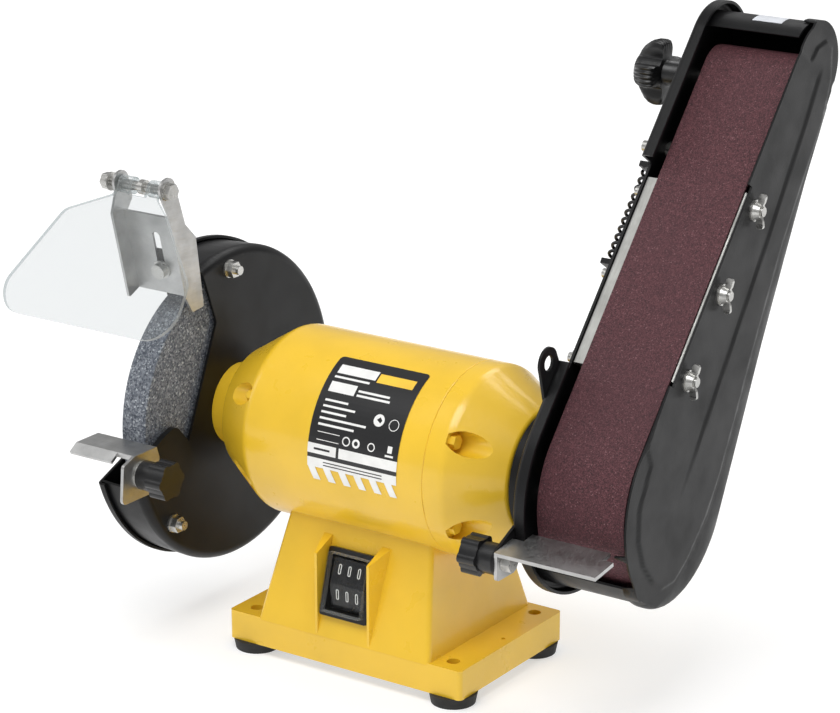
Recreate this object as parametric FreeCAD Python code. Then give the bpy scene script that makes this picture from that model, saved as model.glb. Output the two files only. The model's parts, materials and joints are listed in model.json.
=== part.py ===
"""Bench grinder with a tilting belt sander.

Millimetres, +Z up. The shaft lies along X, with the grinding wheel at -X and the sanding belt at +X.
The origin is the centre of the four bench bolt holes, on the surface that the rubber feet stand on.
"""
import FreeCAD, Part
import math
import os
from FreeCAD import Vector

# ---- stand
FOOT_HEIGHT = 6.0
FOOT_RADIUS = 13.0
FLANGE_LENGTH = 150.2
FLANGE_DEPTH = 99.3
FLANGE_HEIGHT = 16.3
FLANGE_TOP = FOOT_HEIGHT + FLANGE_HEIGHT
BOLT_SPACING_X = 128.0
BOLT_SPACING_Y = 79.0
BOLT_HOLE_RADIUS = 3.5
CASTING_WALL = 3.0
PEDESTAL_HALF_LOW = 55.5
PEDESTAL_HALF_HIGH = 44.4
PEDESTAL_FRONT_LOW = -FLANGE_DEPTH / 2
PEDESTAL_FRONT_HIGH = -30.2
PEDESTAL_TOP = 90.0

# ---- motor
SHAFT_Z = 120.5
BARREL_RADIUS = 52.0
BARREL_BORE = 48.5
BELL_END_RADIUS = 34.2
BARREL_LEFT = -61.5
BARREL_SEAM = 52.4
BARREL_RIGHT = 64.0
LEFT_BELL_END = -90.0
RIGHT_BELL_END = 92.5
NECK_RADIUS = 23.0
SPIGOT_RADIUS = 22.0
SPIGOT_END = 115.0
BEARING_RADIUS = 17.5
BEARING_BORE = 7.55
BEARING_WIDTH = 11.0
TIE_BOLT_RADIUS = 2.0
TIE_BOLT_CIRCLE = 46.0
TIE_BOLT_ANGLE = 30.0
TIE_POCKET_RADIUS = 6.4
STATOR_HALF = 32.0
AIR_GAP = 0.4

# ---- shaft
ROTOR_SEAT_RADIUS = 9.0
JOURNAL_RADIUS = 7.5
NECK_SHAFT_RADIUS = 7.0
WHEEL_SEAT_RADIUS = 6.35
DRUM_SEAT_RADIUS = 6.0

# ---- grinding wheel and its guard
WHEEL_RADIUS = 75.0
WHEEL_OUTER = -125.6
WHEEL_INNER = -109.6
GUARD_FACE = -105.3
GUARD_SHEET = 1.5
GUARD_RADIUS = 88.3
GUARD_RIM_RADIUS = 86.8
GUARD_END = -134.3
GUARD_BOLT_CIRCLE = 78.5
GUARD_BOLT_ANGLES = (86.0, -41.5, -158.0)

# ---- eye shield
WEB_FOOT_Y = -46.0
WEB_FOOT_Z = 73.0
WEB_LEAN = 13.7
WEB_LENGTH = 46.5
ROD_Y = -58.0
ROD_Z = 133.0
ROD_RADIUS = 2.5
SHIELD_TILT = 30.0

# ---- tool rests
LEFT_BOLT_Y = -89.5
LEFT_BOLT_Z = -13.7
LEFT_FLANGE_FACE = -100.2
RIGHT_FLANGE_FACE = 113.9
REST_SHEET = 1.8

# ---- sanding arm, in its own frame: s along the arm from the shaft, n towards the working side
ARM_LEAN = 33.7
DRUM_SPACING = 224.5
COVER_SPACING = 239.8
BELT_LEFT = 119.5
BELT_RIGHT = 169.5
BELT_RADIUS_LOW = 48.5
BELT_RADIUS_HIGH = 19.0
BELT_THICKNESS = 1.2
DRUM_GAP = 0.3
PLATE_FACE = 110.6
PLATE_SHEET = 1.5
PLATE_RADIUS_LOW = 58.5
PLATE_RADIUS_HIGH = 27.5
PLATE_RIM_END = 118.0
WALL_RADIUS_LOW = 53.4
WALL_RADIUS_HIGH = 22.0
WALL_SHEET = 1.2
WALL_END = 168.8
COVER_FACE = 173.1
COVER_RADIUS_LOW = 54.8
COVER_RADIUS_HIGH = 23.4
COVER_RIM_START = 165.0
COVER_FRONT_LOW = 52.0
COVER_FRONT_HIGH = 21.3
COVER_BEVEL = 7.0
COVER_BEVEL_LINES = (((87.0, -29.0), (3.0, -35.0)), ((3.0, -35.0), (-42.0, -21.0)))
WINDOW_LOW = 48.0
WINDOW_HIGH = 161.0
STUD_PLACES = (152.0, 104.0, 55.8)
STUD_DEPTH = 10.3
REST_EAR = (-56.0, 45.6)
SPARE_EAR = (43.4, 61.5)
SLIDE_FACE = 107.0

ARM_TAPER = math.asin((BELT_RADIUS_LOW - BELT_RADIUS_HIGH) / DRUM_SPACING)


# ---------------------------------------------------------------- geometry helpers
def rounded_wire(corners, place):
    """Closed wire through (u, v, radius) corners, each corner rounded by its radius."""
    starts = []
    arcs = []
    ends = []
    for index, (u, v, radius) in enumerate(corners):
        before = corners[index - 1]
        after = corners[(index + 1) % len(corners)]
        if radius <= 0:
            starts.append(place(u, v))
            arcs.append(None)
            ends.append(place(u, v))
            continue
        back = FreeCAD.Base.Vector2d(before[0] - u, before[1] - v)
        ahead = FreeCAD.Base.Vector2d(after[0] - u, after[1] - v)
        back_u, back_v = back.x / back.length(), back.y / back.length()
        ahead_u, ahead_v = ahead.x / ahead.length(), ahead.y / ahead.length()
        half = math.acos(max(-1.0, min(1.0, back_u * ahead_u + back_v * ahead_v))) / 2
        reach = radius / math.tan(half)
        middle_u, middle_v = back_u + ahead_u, back_v + ahead_v
        length = math.hypot(middle_u, middle_v)
        dip = radius / math.sin(half) - radius
        starts.append(place(u + back_u * reach, v + back_v * reach))
        arcs.append(place(u + middle_u / length * dip, v + middle_v / length * dip))
        ends.append(place(u + ahead_u * reach, v + ahead_v * reach))
    edges = []
    for index in range(len(corners)):
        if (starts[index] - ends[index - 1]).Length > 1e-6:
            edges.append(Part.LineSegment(ends[index - 1], starts[index]).toShape())
        if arcs[index] is not None:
            edges.append(Part.Arc(starts[index], arcs[index], ends[index]).toShape())
    return Part.Wire(edges)


def with_radius(points, radius=0.0):
    """Corners from (u, v) or (u, v, radius) points."""
    return [tuple(point) if len(point) == 3 else (point[0], point[1], radius) for point in points]


def slab_x(points, x0, x1, radius=0.0):
    """Prism along X with its outline in (y, height above the shaft)."""
    wire = rounded_wire(with_radius(points, radius), lambda y, z: Vector(x0, y, SHAFT_Z + z))
    return Part.Face(wire).extrude(Vector(x1 - x0, 0, 0))


def slab_z(points, z0, z1, radius=0.0):
    """Prism along Z with its outline in (x, y)."""
    wire = rounded_wire(with_radius(points, radius), lambda x, y: Vector(x, y, z0))
    return Part.Face(wire).extrude(Vector(0, 0, z1 - z0))


def rectangle(u0, u1, v0, v1):
    """The four corners of a rectangle."""
    return [(u0, v0), (u1, v0), (u1, v1), (u0, v1)]


def box(x0, x1, y0, y1, z0, z1):
    """Box between two corners, with z above the shaft."""
    return Part.makeBox(x1 - x0, y1 - y0, z1 - z0, Vector(x0, y0, SHAFT_Z + z0))


def rod_x(x0, x1, radius, y=0.0, z=0.0):
    """Cylinder along X, with z above the shaft."""
    return Part.makeCylinder(radius, x1 - x0, Vector(x0, y, SHAFT_Z + z), Vector(1, 0, 0))


def ring_x(x0, x1, outer, inner, y=0.0, z=0.0):
    """Tube along X."""
    return rod_x(x0, x1, outer, y, z).cut(rod_x(x0 - 1, x1 + 1, inner, y, z))


def hex_x(x0, x1, across_flats, y=0.0, z=0.0):
    """Hexagonal prism along X."""
    radius = across_flats / math.sqrt(3)
    angles = [math.radians(60 * step) for step in range(6)]
    return slab_x([(y + radius * math.cos(a), z + radius * math.sin(a)) for a in angles], x0, x1)


def rod_z(z0, z1, radius, x, y):
    """Cylinder along Z, with z above the floor."""
    return Part.makeCylinder(radius, z1 - z0, Vector(x, y, z0))


def turned(points):
    """Body turned about the shaft axis from (x, radius) corners."""
    wire = rounded_wire(with_radius(points), lambda x, r: Vector(x, 0, SHAFT_Z + r))
    return Part.Face(wire).revolve(Vector(0, 0, SHAFT_Z), Vector(1, 0, 0), 360)


def polar(angle, radius):
    """(y, z) at an angle above the front horizontal, about the shaft."""
    turn = math.radians(angle)
    return -radius * math.cos(turn), radius * math.sin(turn)


def fused(shapes):
    """One solid from overlapping shapes."""
    return shapes[0].multiFuse(shapes[1:]).removeSplitter()


def group(shapes):
    """Separate solids kept in one node."""
    return Part.makeCompound(shapes)


# ---------------------------------------------------------------- arm frame helpers
def lean(shape):
    """Tilts a body that is modelled with the arm upright to the arm's lean."""
    shape.rotate(Vector(0, 0, SHAFT_Z), Vector(1, 0, 0), -ARM_LEAN)
    return shape


def arm_slab(points, x0, x1, radius=0.0):
    """Prism along X with its outline in the arm's (s, n)."""
    corners = with_radius(points, radius)
    return slab_x([(-n, s, r) for s, n, r in corners], x0, x1)


def arm_rod(x0, x1, radius, s, n):
    """Cylinder along X at (s, n) on the upright arm."""
    return rod_x(x0, x1, radius, -n, s)


def arm_hex(x0, x1, across_flats, s, n):
    """Hexagonal prism along X at (s, n) on the upright arm."""
    return hex_x(x0, x1, across_flats, -n, s)


def tapered_slab(x0, x1, low, high, spacing=COVER_SPACING):
    """Prism with the outline of two circles, one about the shaft, and their tangents."""
    slope = math.asin((low - high) / spacing)
    rise, reach = math.sin(slope), math.cos(slope)

    def point(s, n):
        return Vector(x0, -n, SHAFT_Z + s)

    low_front = point(low * rise, low * reach)
    low_back = point(low * rise, -low * reach)
    high_front = point(spacing + high * rise, high * reach)
    high_back = point(spacing + high * rise, -high * reach)
    edges = [
        Part.Arc(low_back, point(-low, 0), low_front).toShape(),
        Part.LineSegment(low_front, high_front).toShape(),
        Part.Arc(high_front, point(spacing + high, 0), high_back).toShape(),
        Part.LineSegment(high_back, low_back).toShape(),
    ]
    return Part.Face(Part.Wire(edges)).extrude(Vector(x1 - x0, 0, 0))


def belt_line(s, inset=0.0):
    """n of the working side of the belt at s, less an inset square to it."""
    return (BELT_RADIUS_LOW - inset - s * math.sin(ARM_TAPER)) / math.cos(ARM_TAPER)


def front_band(low, high, inset, outset, x0, x1):
    """Prism along the working side between two s, from an inset below the belt to an outset above."""
    corners = [
        (low, belt_line(low, inset)),
        (high, belt_line(high, inset)),
        (high, belt_line(high, -outset)),
        (low, belt_line(low, -outset)),
    ]
    return arm_slab(corners, x0, x1)


# ---------------------------------------------------------------- stand
def bolt_places():
    """Centres of the four bench bolt holes."""
    half_x, half_y = BOLT_SPACING_X / 2, BOLT_SPACING_Y / 2
    return [(x, y) for x in (-half_x, half_x) for y in (-half_y, half_y)]


def pedestal(inset, z_low):
    """Leaning four-sided body of the pedestal, drawn in by an inset, from z_low up."""
    slope_x = (PEDESTAL_HALF_LOW - PEDESTAL_HALF_HIGH) / (PEDESTAL_TOP - FLANGE_TOP)
    slope_y = (PEDESTAL_FRONT_HIGH - PEDESTAL_FRONT_LOW) / (PEDESTAL_TOP - FLANGE_TOP)

    def outline(z):
        half = PEDESTAL_HALF_LOW - slope_x * (z - FLANGE_TOP) - inset
        front = PEDESTAL_FRONT_LOW + slope_y * (z - FLANGE_TOP) + inset
        corners = with_radius(rectangle(-half, half, front, -front - 1.2), max(2.5 - inset / 2, 0.8))
        return rounded_wire(corners, lambda x, y: Vector(x, y, z))

    return Part.makeLoft([outline(z_low), outline(PEDESTAL_TOP)], True, True)


FACE_LEAN = math.degrees(
    math.atan((PEDESTAL_FRONT_HIGH - PEDESTAL_FRONT_LOW) / (PEDESTAL_TOP - FLANGE_TOP))
)
SWITCH_HALF_WIDTH = 15.0
SWITCH_LOW = 11.0
SWITCH_HIGH = 48.0


def on_face(shape):
    """Moves a body drawn on an upright front (y = 0, z = 0) to the pedestal's leaning front."""
    shape.rotate(Vector(0, 0, 0), Vector(1, 0, 0), -FACE_LEAN)
    shape.translate(Vector(0, PEDESTAL_FRONT_LOW, FLANGE_TOP))
    return shape


def face_block(x0, x1, out, back, low, high, radius=0.0):
    """Block on the leaning front: from out in front of it to back behind it."""
    wire = rounded_wire(with_radius(rectangle(x0, x1, low, high), radius), lambda x, z: Vector(x, -out, z))
    return on_face(Part.Face(wire).extrude(Vector(0, out + back, 0)))


def switch_rib(side):
    """Upright rib beside the switch, flush with the front of the flange."""
    inner = side * (SWITCH_HALF_WIDTH + 1.0)
    front = PEDESTAL_FRONT_LOW
    plan = [(inner, front), (inner + side * 1.6, front), (inner + side * 6.5, front + 18),
            (inner, front + 18)]
    rib = slab_z(plan, FOOT_HEIGHT + 2, 74.0)
    # The rib's top slopes up from its ridge to the pedestal's face.
    cap = slab_x([(front - 2, 67 - SHAFT_Z), (front + 20, 76 - SHAFT_Z), (front + 20, -SHAFT_Z + 90),
                  (front - 2, -SHAFT_Z + 90)], -40, 40)
    return rib.cut(cap)


def make_base():
    """Casting: bolt flange, pedestal and switch ribs, hollow from below."""
    half_x, half_y = FLANGE_LENGTH / 2, FLANGE_DEPTH / 2
    flange = slab_z(rectangle(-half_x, half_x, -half_y, half_y), FOOT_HEIGHT, FLANGE_TOP, 2.5)
    outside = fused([flange, pedestal(0.0, FLANGE_TOP - 1), switch_rib(-1), switch_rib(1)])
    outside = outside.cut(rod_x(-100, 100, BARREL_RADIUS))
    inner_flange = slab_z(
        rectangle(-half_x + CASTING_WALL, half_x - CASTING_WALL, -half_y + CASTING_WALL,
                  half_y - CASTING_WALL),
        FOOT_HEIGHT - 1, FLANGE_TOP - CASTING_WALL, 2.0)
    hollow = inner_flange.fuse(pedestal(CASTING_WALL, FLANGE_TOP - CASTING_WALL - 1))
    hollow = hollow.cut(rod_x(-100, 100, BARREL_RADIUS + CASTING_WALL))
    bosses = [rod_z(FOOT_HEIGHT - 1, FLANGE_TOP, 8.0, x, y) for x, y in bolt_places()]
    posts = [rod_z(BOTTOM_PLATE_TOP, FLANGE_TOP, 3.5, x, y) for x, y in bottom_screw_places()]
    hollow = hollow.cut(group(bosses + posts))
    casting = outside.cut(hollow)
    holes = [rod_z(0, FLANGE_TOP + 1, BOLT_HOLE_RADIUS, x, y) for x, y in bolt_places()]
    holes += [rod_z(0, FLANGE_TOP - 4, 1.5, x, y) for x, y in bottom_screw_places()]
    holes += [rod_z(FLANGE_TOP - 8, 80, MOUNT_SCREW_RADIUS + 0.2, x, 0) for x in MOUNT_SCREW_PLACES]
    holes.append(rod_z(FLANGE_TOP - 1.5, FLANGE_TOP + 1, 1.2, 69.4, 0))
    holes.append(face_block(-SWITCH_HALF_WIDTH + 1.5, SWITCH_HALF_WIDTH - 1.5, 12, 12, SWITCH_LOW + 1.5,
                            SWITCH_HIGH - 1.5, 1.0))
    holes.append(Part.makeCylinder(GLAND_NECK, 20, Vector(GLAND_X, 40, GLAND_Z), Vector(0, 1, 0)))
    return casting.cut(group(holes))


GLAND_X = -30.0
GLAND_Z = 13.5
GLAND_NECK = 4.5
BOTTOM_PLATE_TOP = FOOT_HEIGHT + 1.2
MOUNT_SCREW_RADIUS = 2.5
MOUNT_SCREW_PLACES = (-30.0, 30.0)


def bottom_screw_places():
    """Centres of the four small screws that hold the bottom plate."""
    return [(x, y) for x in (-63.5, 63.5) for y in (-15.0, 15.0)]


def make_bottom_plate():
    """Sheet steel plate that closes the underside, clear of the bolt bosses."""
    half_x, half_y = FLANGE_LENGTH / 2 - CASTING_WALL - 0.3, FLANGE_DEPTH / 2 - CASTING_WALL - 0.3
    plate = slab_z(rectangle(-half_x, half_x, -half_y, half_y), FOOT_HEIGHT, BOTTOM_PLATE_TOP, 1.7)
    cuts = [rod_z(0, 20, 8.4, x, y) for x, y in bolt_places()]
    cuts += [slab_z(rectangle(*sorted((x, x * 1.3)), *sorted((y * 0.78, y * 1.3))), 0, 20) for x,
             y in bolt_places()]
    cuts += [rod_z(0, 20, 1.7, x, y) for x, y in bottom_screw_places()]
    return plate.cut(group(cuts))


def make_bottom_screws():
    """Four small pan head screws under the bottom plate."""
    return group([
        rod_z(FOOT_HEIGHT - 1.8, FOOT_HEIGHT, 3.0, x, y).fuse(rod_z(FOOT_HEIGHT, 15, 1.5, x, y))
        for x, y in bottom_screw_places()
    ])


def make_foot(x, y):
    """Rubber foot with a slight taper and the bench bolt's hole through it."""
    foot = Part.makeCone(FOOT_RADIUS - 1.2, FOOT_RADIUS, FOOT_HEIGHT, Vector(x, y, 0))
    return foot.cut(rod_z(-1, FOOT_HEIGHT + 1, BOLT_HOLE_RADIUS, x, y))


def make_gland():
    """Rubber grommet in the rear of the flange, where the cord would enter."""
    rear = FLANGE_DEPTH / 2
    start = rear - CASTING_WALL - 2
    axis = Vector(0, 1, 0)
    neck = Part.makeCylinder(GLAND_NECK, CASTING_WALL + 4, Vector(GLAND_X, start, GLAND_Z), axis)
    collar = Part.makeCylinder(6.8, 3, Vector(GLAND_X, rear, GLAND_Z), axis)
    lip = Part.makeCylinder(5.6, 2, Vector(GLAND_X, start, GLAND_Z), axis)
    bore = Part.makeCylinder(3.2, 30, Vector(GLAND_X, start - 2, GLAND_Z), axis)
    return fused([neck, collar, lip]).cut(bore)


def make_capacitor():
    """Run capacitor can lying in the pedestal, with its two terminals."""
    can = Part.makeCylinder(14.0, 46, Vector(-2, 18, 30), Vector(1, 0, 0))
    can = can.makeFillet(1.5, can.Edges)
    pins = [Part.makeBox(6, 5, 0.9, Vector(-8, 15.5, z)) for z in (25.0, 34.0)]
    return fused([can] + pins)


def make_capacitor_clip():
    """Sheet strap that holds the capacitor to the floor of the casting."""
    band = Part.makeCylinder(15.2, 12, Vector(14, 18, 30), Vector(1, 0, 0))
    band = band.cut(Part.makeCylinder(14.0, 20, Vector(10, 18, 30), Vector(1, 0, 0)))
    foot = Part.makeBox(12, 38, 1.2, Vector(14, -1, BOTTOM_PLATE_TOP))
    stem = Part.makeBox(12, 1.2, 15, Vector(14, 17.4, BOTTOM_PLATE_TOP))
    return fused([band, foot, stem.cut(Part.makeCylinder(14.5, 20, Vector(10, 18, 30), Vector(1, 0, 0)))])


def make_mount_screws():
    """Two screws up through the pedestal's saddle into the motor housing."""
    screws = []
    for x in MOUNT_SCREW_PLACES:
        roof = SHAFT_Z - BARREL_RADIUS - CASTING_WALL
        shank = rod_z(roof - 1, roof + CASTING_WALL + 3, MOUNT_SCREW_RADIUS, x, 0)
        head = rod_z(roof - 5.5, roof - 0.3, 4.5, x, 0)
        screws.append(fused([shank, head]))
    return group(screws)


def make_switch_body():
    """Switch housing with its bezel standing proud of the pedestal's face."""
    bezel = face_block(-SWITCH_HALF_WIDTH, SWITCH_HALF_WIDTH, 3.0, 0.0, SWITCH_LOW, SWITCH_HIGH, 1.2)
    half = SWITCH_HALF_WIDTH - 1.7
    box_behind = face_block(-half, half, 0.5, 22.0, SWITCH_LOW + 1.7, SWITCH_HIGH - 1.7, 0.8)
    well = face_block(-half + 1.4, half - 1.4, 4.0, 9.0, SWITCH_LOW + 3.2, SWITCH_HIGH - 3.2, 0.5)
    return fused([bezel, box_behind]).cut(well).cut(rocker_pin(ROCKER_PIN_RADIUS + 0.05, half - 0.3))


ROCKER_MIDDLE = (SWITCH_LOW + SWITCH_HIGH) / 2
ROCKER_PIN_RADIUS = 1.4
ROCKER_PIVOT_DEPTH = 2.0
ROCKER_SWING = 8.0


def rocker_pin(radius, half):
    """Pivot pin of the rocker, along X."""
    start = Vector(-half, ROCKER_PIVOT_DEPTH, ROCKER_MIDDLE)
    return on_face(Part.makeCylinder(radius, 2 * half, start, Vector(1, 0, 0)))


def make_rocker():
    """Two-position rocker, modelled pressed at its lower end (off)."""
    half = SWITCH_HALF_WIDTH - 4.2
    side = [(1.2, -14.0), (3.4, 0.0), (0.8, 14.0), (-5.5, 12.5), (-7.5, 0.0), (-5.5, -12.5)]
    wire = rounded_wire(with_radius([(-y, z + ROCKER_MIDDLE) for y, z in side], 0.6),
                        lambda y, z: Vector(-half, y, z))
    rocker = Part.Face(wire).extrude(Vector(2 * half, 0, 0))
    rocker.rotate(Vector(0, ROCKER_PIVOT_DEPTH, ROCKER_MIDDLE), Vector(1, 0, 0), ROCKER_SWING)
    return fused([on_face(rocker), rocker_pin(ROCKER_PIN_RADIUS, SWITCH_HALF_WIDTH - 2.2)])


def make_dust_cover():
    """Clear flexible hood over the rocker, held in the bezel."""
    half = SWITCH_HALF_WIDTH - 2.2
    outer = face_block(-half, half, 7.2, -3.0, SWITCH_LOW + 2.4, SWITCH_HIGH - 2.4, 1.5)
    inner = face_block(-half + 0.8, half - 0.8, 6.4, -2.0, SWITCH_LOW + 3.2, SWITCH_HIGH - 3.2, 1.0)
    return outer.cut(inner)


# ---------------------------------------------------------------- motor
def tie_bolt_places():
    """(y, z) of the four through bolts."""
    return [polar(angle, TIE_BOLT_CIRCLE)
            for angle in (TIE_BOLT_ANGLE, -TIE_BOLT_ANGLE, 180 - TIE_BOLT_ANGLE, 180 + TIE_BOLT_ANGLE)]


def tie_bosses(outside, x0, x1):
    """Bosses around the through bolts, kept inside the outer shape."""
    return [rod_x(x0, x1, 9.0, y, z).common(outside) for y, z in tie_bolt_places()]


def make_motor_housing():
    """Barrel and left end bell in one casting, with a neck that carries the wheel guard."""
    outside = turned([(GUARD_FACE, 0), (GUARD_FACE, NECK_RADIUS), (LEFT_BELL_END, NECK_RADIUS),
                      (LEFT_BELL_END, BELL_END_RADIUS, 2.5), (BARREL_LEFT, BARREL_RADIUS, 9.0),
                      (BARREL_SEAM, BARREL_RADIUS, 0.5), (BARREL_SEAM, 0)])
    seat = LEFT_BELL_END + 2
    hollow = turned([(GUARD_FACE - 1, 0), (GUARD_FACE - 1, 13), (seat, 13), (seat, BEARING_RADIUS),
                     (seat + 14, BEARING_RADIUS), (seat + 14, 23), (-84, 23), (-84, 31),
                     (-57, BARREL_BORE, 4),
                     (BARREL_SEAM + 1, BARREL_BORE), (BARREL_SEAM + 1, 0)])
    housing = fused([outside.cut(hollow)] + tie_bosses(outside, -82, -50))
    housing = housing.cut(bearing_bore(seat, 1))
    cuts = [rod_x(-95, BARREL_LEFT - 0.5, TIE_POCKET_RADIUS, y, z) for y, z in tie_bolt_places()]
    cuts += [rod_x(-80, 60, TIE_BOLT_RADIUS, y, z) for y, z in tie_bolt_places()]
    cuts += [rod_x(-120, -93, 2.5, *polar(angle, GUARD_MOUNT_CIRCLE)) for angle in GUARD_MOUNT_ANGLES]
    cuts += [rod_z(60, SHAFT_Z - BARREL_RADIUS + 3, MOUNT_SCREW_RADIUS, x, 0) for x in MOUNT_SCREW_PLACES]
    return housing.cut(group(cuts))


GUARD_MOUNT_CIRCLE = 18.5
GUARD_MOUNT_ANGLES = (90.0, 210.0, 330.0)


def bearing_bore(seat, direction):
    """Space for a bearing, its shaft and its open side."""
    x0, x1 = sorted((seat, seat + direction * 20))
    return rod_x(x0, x1, BEARING_RADIUS)


def make_right_bell():
    """Right end bell with the spigot that the sanding arm turns on."""
    outside = turned([(BARREL_SEAM, 0), (BARREL_SEAM, BARREL_RADIUS, 0.5), (BARREL_RIGHT, BARREL_RADIUS, 9.0),
                      (RIGHT_BELL_END, BELL_END_RADIUS, 2.5), (RIGHT_BELL_END, SPIGOT_RADIUS),
                      (SPIGOT_END, SPIGOT_RADIUS), (SPIGOT_END, 0)])
    seat = RIGHT_BELL_END - 2
    hollow = turned([(BARREL_SEAM - 1, 0), (BARREL_SEAM - 1, BARREL_BORE), (59.5, BARREL_BORE, 4), (86.5, 31),
                     (86.5, 23), (seat - 14, 23), (seat - 14, BEARING_RADIUS), (seat, BEARING_RADIUS),
                     (seat, 13),
                     (SPIGOT_END + 1, 13), (SPIGOT_END + 1, 0)])
    bell = fused([outside.cut(hollow)] + tie_bosses(outside, BARREL_SEAM, 84))
    bell = bell.cut(bearing_bore(seat, -1))
    cuts = [rod_x(BARREL_RIGHT - 1, 96, TIE_POCKET_RADIUS, y, z) for y, z in tie_bolt_places()]
    cuts += [rod_x(50, 70, TIE_BOLT_RADIUS, y, z) for y, z in tie_bolt_places()]
    groove = ring_x(RETAINER_X, RETAINER_X + RETAINER_WIDTH, 30, SPIGOT_RADIUS - 1.2)
    return bell.cut(group(cuts)).cut(groove)


RETAINER_X = 112.4
RETAINER_WIDTH = 1.4


def make_retainer():
    """Spring ring in the spigot's groove, which keeps the arm on."""
    ring = ring_x(RETAINER_X, RETAINER_X + RETAINER_WIDTH, 24.6, SPIGOT_RADIUS - 1.2)
    return ring.cut(box(RETAINER_X - 1, RETAINER_X + 3, -3, 3, -30, -15))


def make_tie_bolts():
    """Four long through bolts with hexagonal heads in the right bell's pockets."""
    head = BARREL_RIGHT - 1
    return group([
        fused([hex_x(head, head + 3.5, 7.0, y, z), rod_x(BARREL_LEFT - 6, head + 1, TIE_BOLT_RADIUS, y, z)])
        for y, z in tie_bolt_places()
    ])


def make_tie_nuts():
    """Nuts in the left bell's pockets."""
    face = BARREL_LEFT - 0.5
    return group([
        hex_x(face - 3.4, face, 7.0, y, z).cut(rod_x(face - 9, face + 1, TIE_BOLT_RADIUS, y, z))
        for y, z in tie_bolt_places()
    ])


def make_stator():
    """Laminated core pressed in the barrel, notched for the through bolts."""
    core = ring_x(-STATOR_HALF, STATOR_HALF, BARREL_BORE, 26.0)
    notches = [rod_x(-40, 40, TIE_BOLT_RADIUS + 1, y, z) for y, z in tie_bolt_places()]
    slots = []
    for step in range(24):
        y, z = polar(15 * step, 31)
        slots.append(rod_x(-40, 40, 2.2, y, z))
    return core.cut(group(notches + slots))


def make_windings():
    """Copper end turns on both sides of the core."""
    turns = []
    for x0 in (-STATOR_HALF - 15, STATOR_HALF):
        coil = ring_x(x0, x0 + 15, 42.0, 28.5)
        turns.append(coil.makeFillet(3.0, [edge for edge in coil.Edges if edge.Closed and edge.Length > 100]))
    return group(turns)


def make_rotor_core():
    """Squirrel cage rotor with its end rings."""
    core = ring_x(-STATOR_HALF, STATOR_HALF, 26.0 - AIR_GAP, ROTOR_SEAT_RADIUS)
    rings = [ring_x(x0, x0 + 5, 23.0, 14.0) for x0 in (-STATOR_HALF - 5, STATOR_HALF)]
    return fused([core] + rings)


def make_shaft():
    """Stepped shaft from the wheel nut to the drive drum."""
    left_seat, right_seat = LEFT_BELL_END + 2, RIGHT_BELL_END - 2
    return turned([(-139, 0), (-139, 5.4), (-138, 6), (-129, 6), (-129, WHEEL_SEAT_RADIUS),
                   (-98, WHEEL_SEAT_RADIUS),
                   (-98, NECK_SHAFT_RADIUS), (left_seat - 1, NECK_SHAFT_RADIUS),
                   (left_seat - 1, JOURNAL_RADIUS),
                   (left_seat + BEARING_WIDTH, JOURNAL_RADIUS), (left_seat + BEARING_WIDTH,
                                                                 ROTOR_SEAT_RADIUS),
                   (right_seat - BEARING_WIDTH, ROTOR_SEAT_RADIUS), (right_seat - BEARING_WIDTH,
                                                                     JOURNAL_RADIUS),
                   (right_seat + 1, JOURNAL_RADIUS), (right_seat + 1, NECK_SHAFT_RADIUS),
                   (122, NECK_SHAFT_RADIUS),
                   (122, DRUM_SEAT_RADIUS), (159, DRUM_SEAT_RADIUS), (160, 5.4), (160, 0)])


def make_bearing(x0):
    """Ball bearing with a shield groove on each side."""
    bearing = ring_x(x0, x0 + BEARING_WIDTH, BEARING_RADIUS, BEARING_BORE)
    for face in (x0 - 0.6, x0 + BEARING_WIDTH - 0.6):
        bearing = bearing.cut(ring_x(face, face + 1.2, 14.5, 10.5))
    return bearing


def make_label():
    """Thin rating label, bent round the front of the barrel."""
    corners = with_radius(rectangle(-19.5, 36.8, BARREL_RADIUS, BARREL_RADIUS + 0.25))
    wire = rounded_wire(corners, lambda x, r: Vector(x, -r, SHAFT_Z))
    label = Part.Face(wire).revolve(Vector(0, 0, SHAFT_Z), Vector(1, 0, 0), -78.3)
    label.rotate(Vector(0, 0, SHAFT_Z), Vector(1, 0, 0), 11.0)
    return label


# ---------------------------------------------------------------- grinding wheel and guard
def opening_wedge():
    """The guard's open front, as a prism through both of its sides."""
    corners = [(-17, 51, 5), (-44, -11, 8), (-108, -37.4, 0), (-170, -37.4, 0), (-170, 140, 0), (-50, 140, 0)]
    return slab_x(corners, -150, -100)


def guard_bolt_places():
    """(y, z) of the three bolts that hold the guard cover."""
    return [polar(angle, GUARD_BOLT_CIRCLE) for angle in GUARD_BOLT_ANGLES]


def make_guard_housing():
    """Motor-side plate and drum wall of the wheel guard, with the tab for the shield bracket."""
    pan = turned([(GUARD_FACE, 14), (GUARD_FACE, GUARD_RADIUS, 5), (GUARD_END, GUARD_RIM_RADIUS),
                  (GUARD_END, GUARD_RIM_RADIUS - GUARD_SHEET),
                  (GUARD_FACE - GUARD_SHEET, GUARD_RADIUS - GUARD_SHEET, 3.5),
                  (GUARD_FACE - GUARD_SHEET, 14)])
    pan = pan.cut(opening_wedge())
    cuts = [rod_x(-110, -100, 2.6, y, z) for y, z in guard_bolt_places()]
    cuts += [rod_x(-110, -100, 2.5, *polar(angle, GUARD_MOUNT_CIRCLE)) for angle in GUARD_MOUNT_ANGLES]
    cuts += [Part.makeCone(4.6, 2.5, 1.5, Vector(GUARD_FACE - GUARD_SHEET, y, SHAFT_Z + z), Vector(1, 0, 0))
             for y, z in (polar(angle, GUARD_MOUNT_CIRCLE) for angle in GUARD_MOUNT_ANGLES)]
    pan = pan.cut(group(cuts))
    return fused([pan, guard_tab()])


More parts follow.
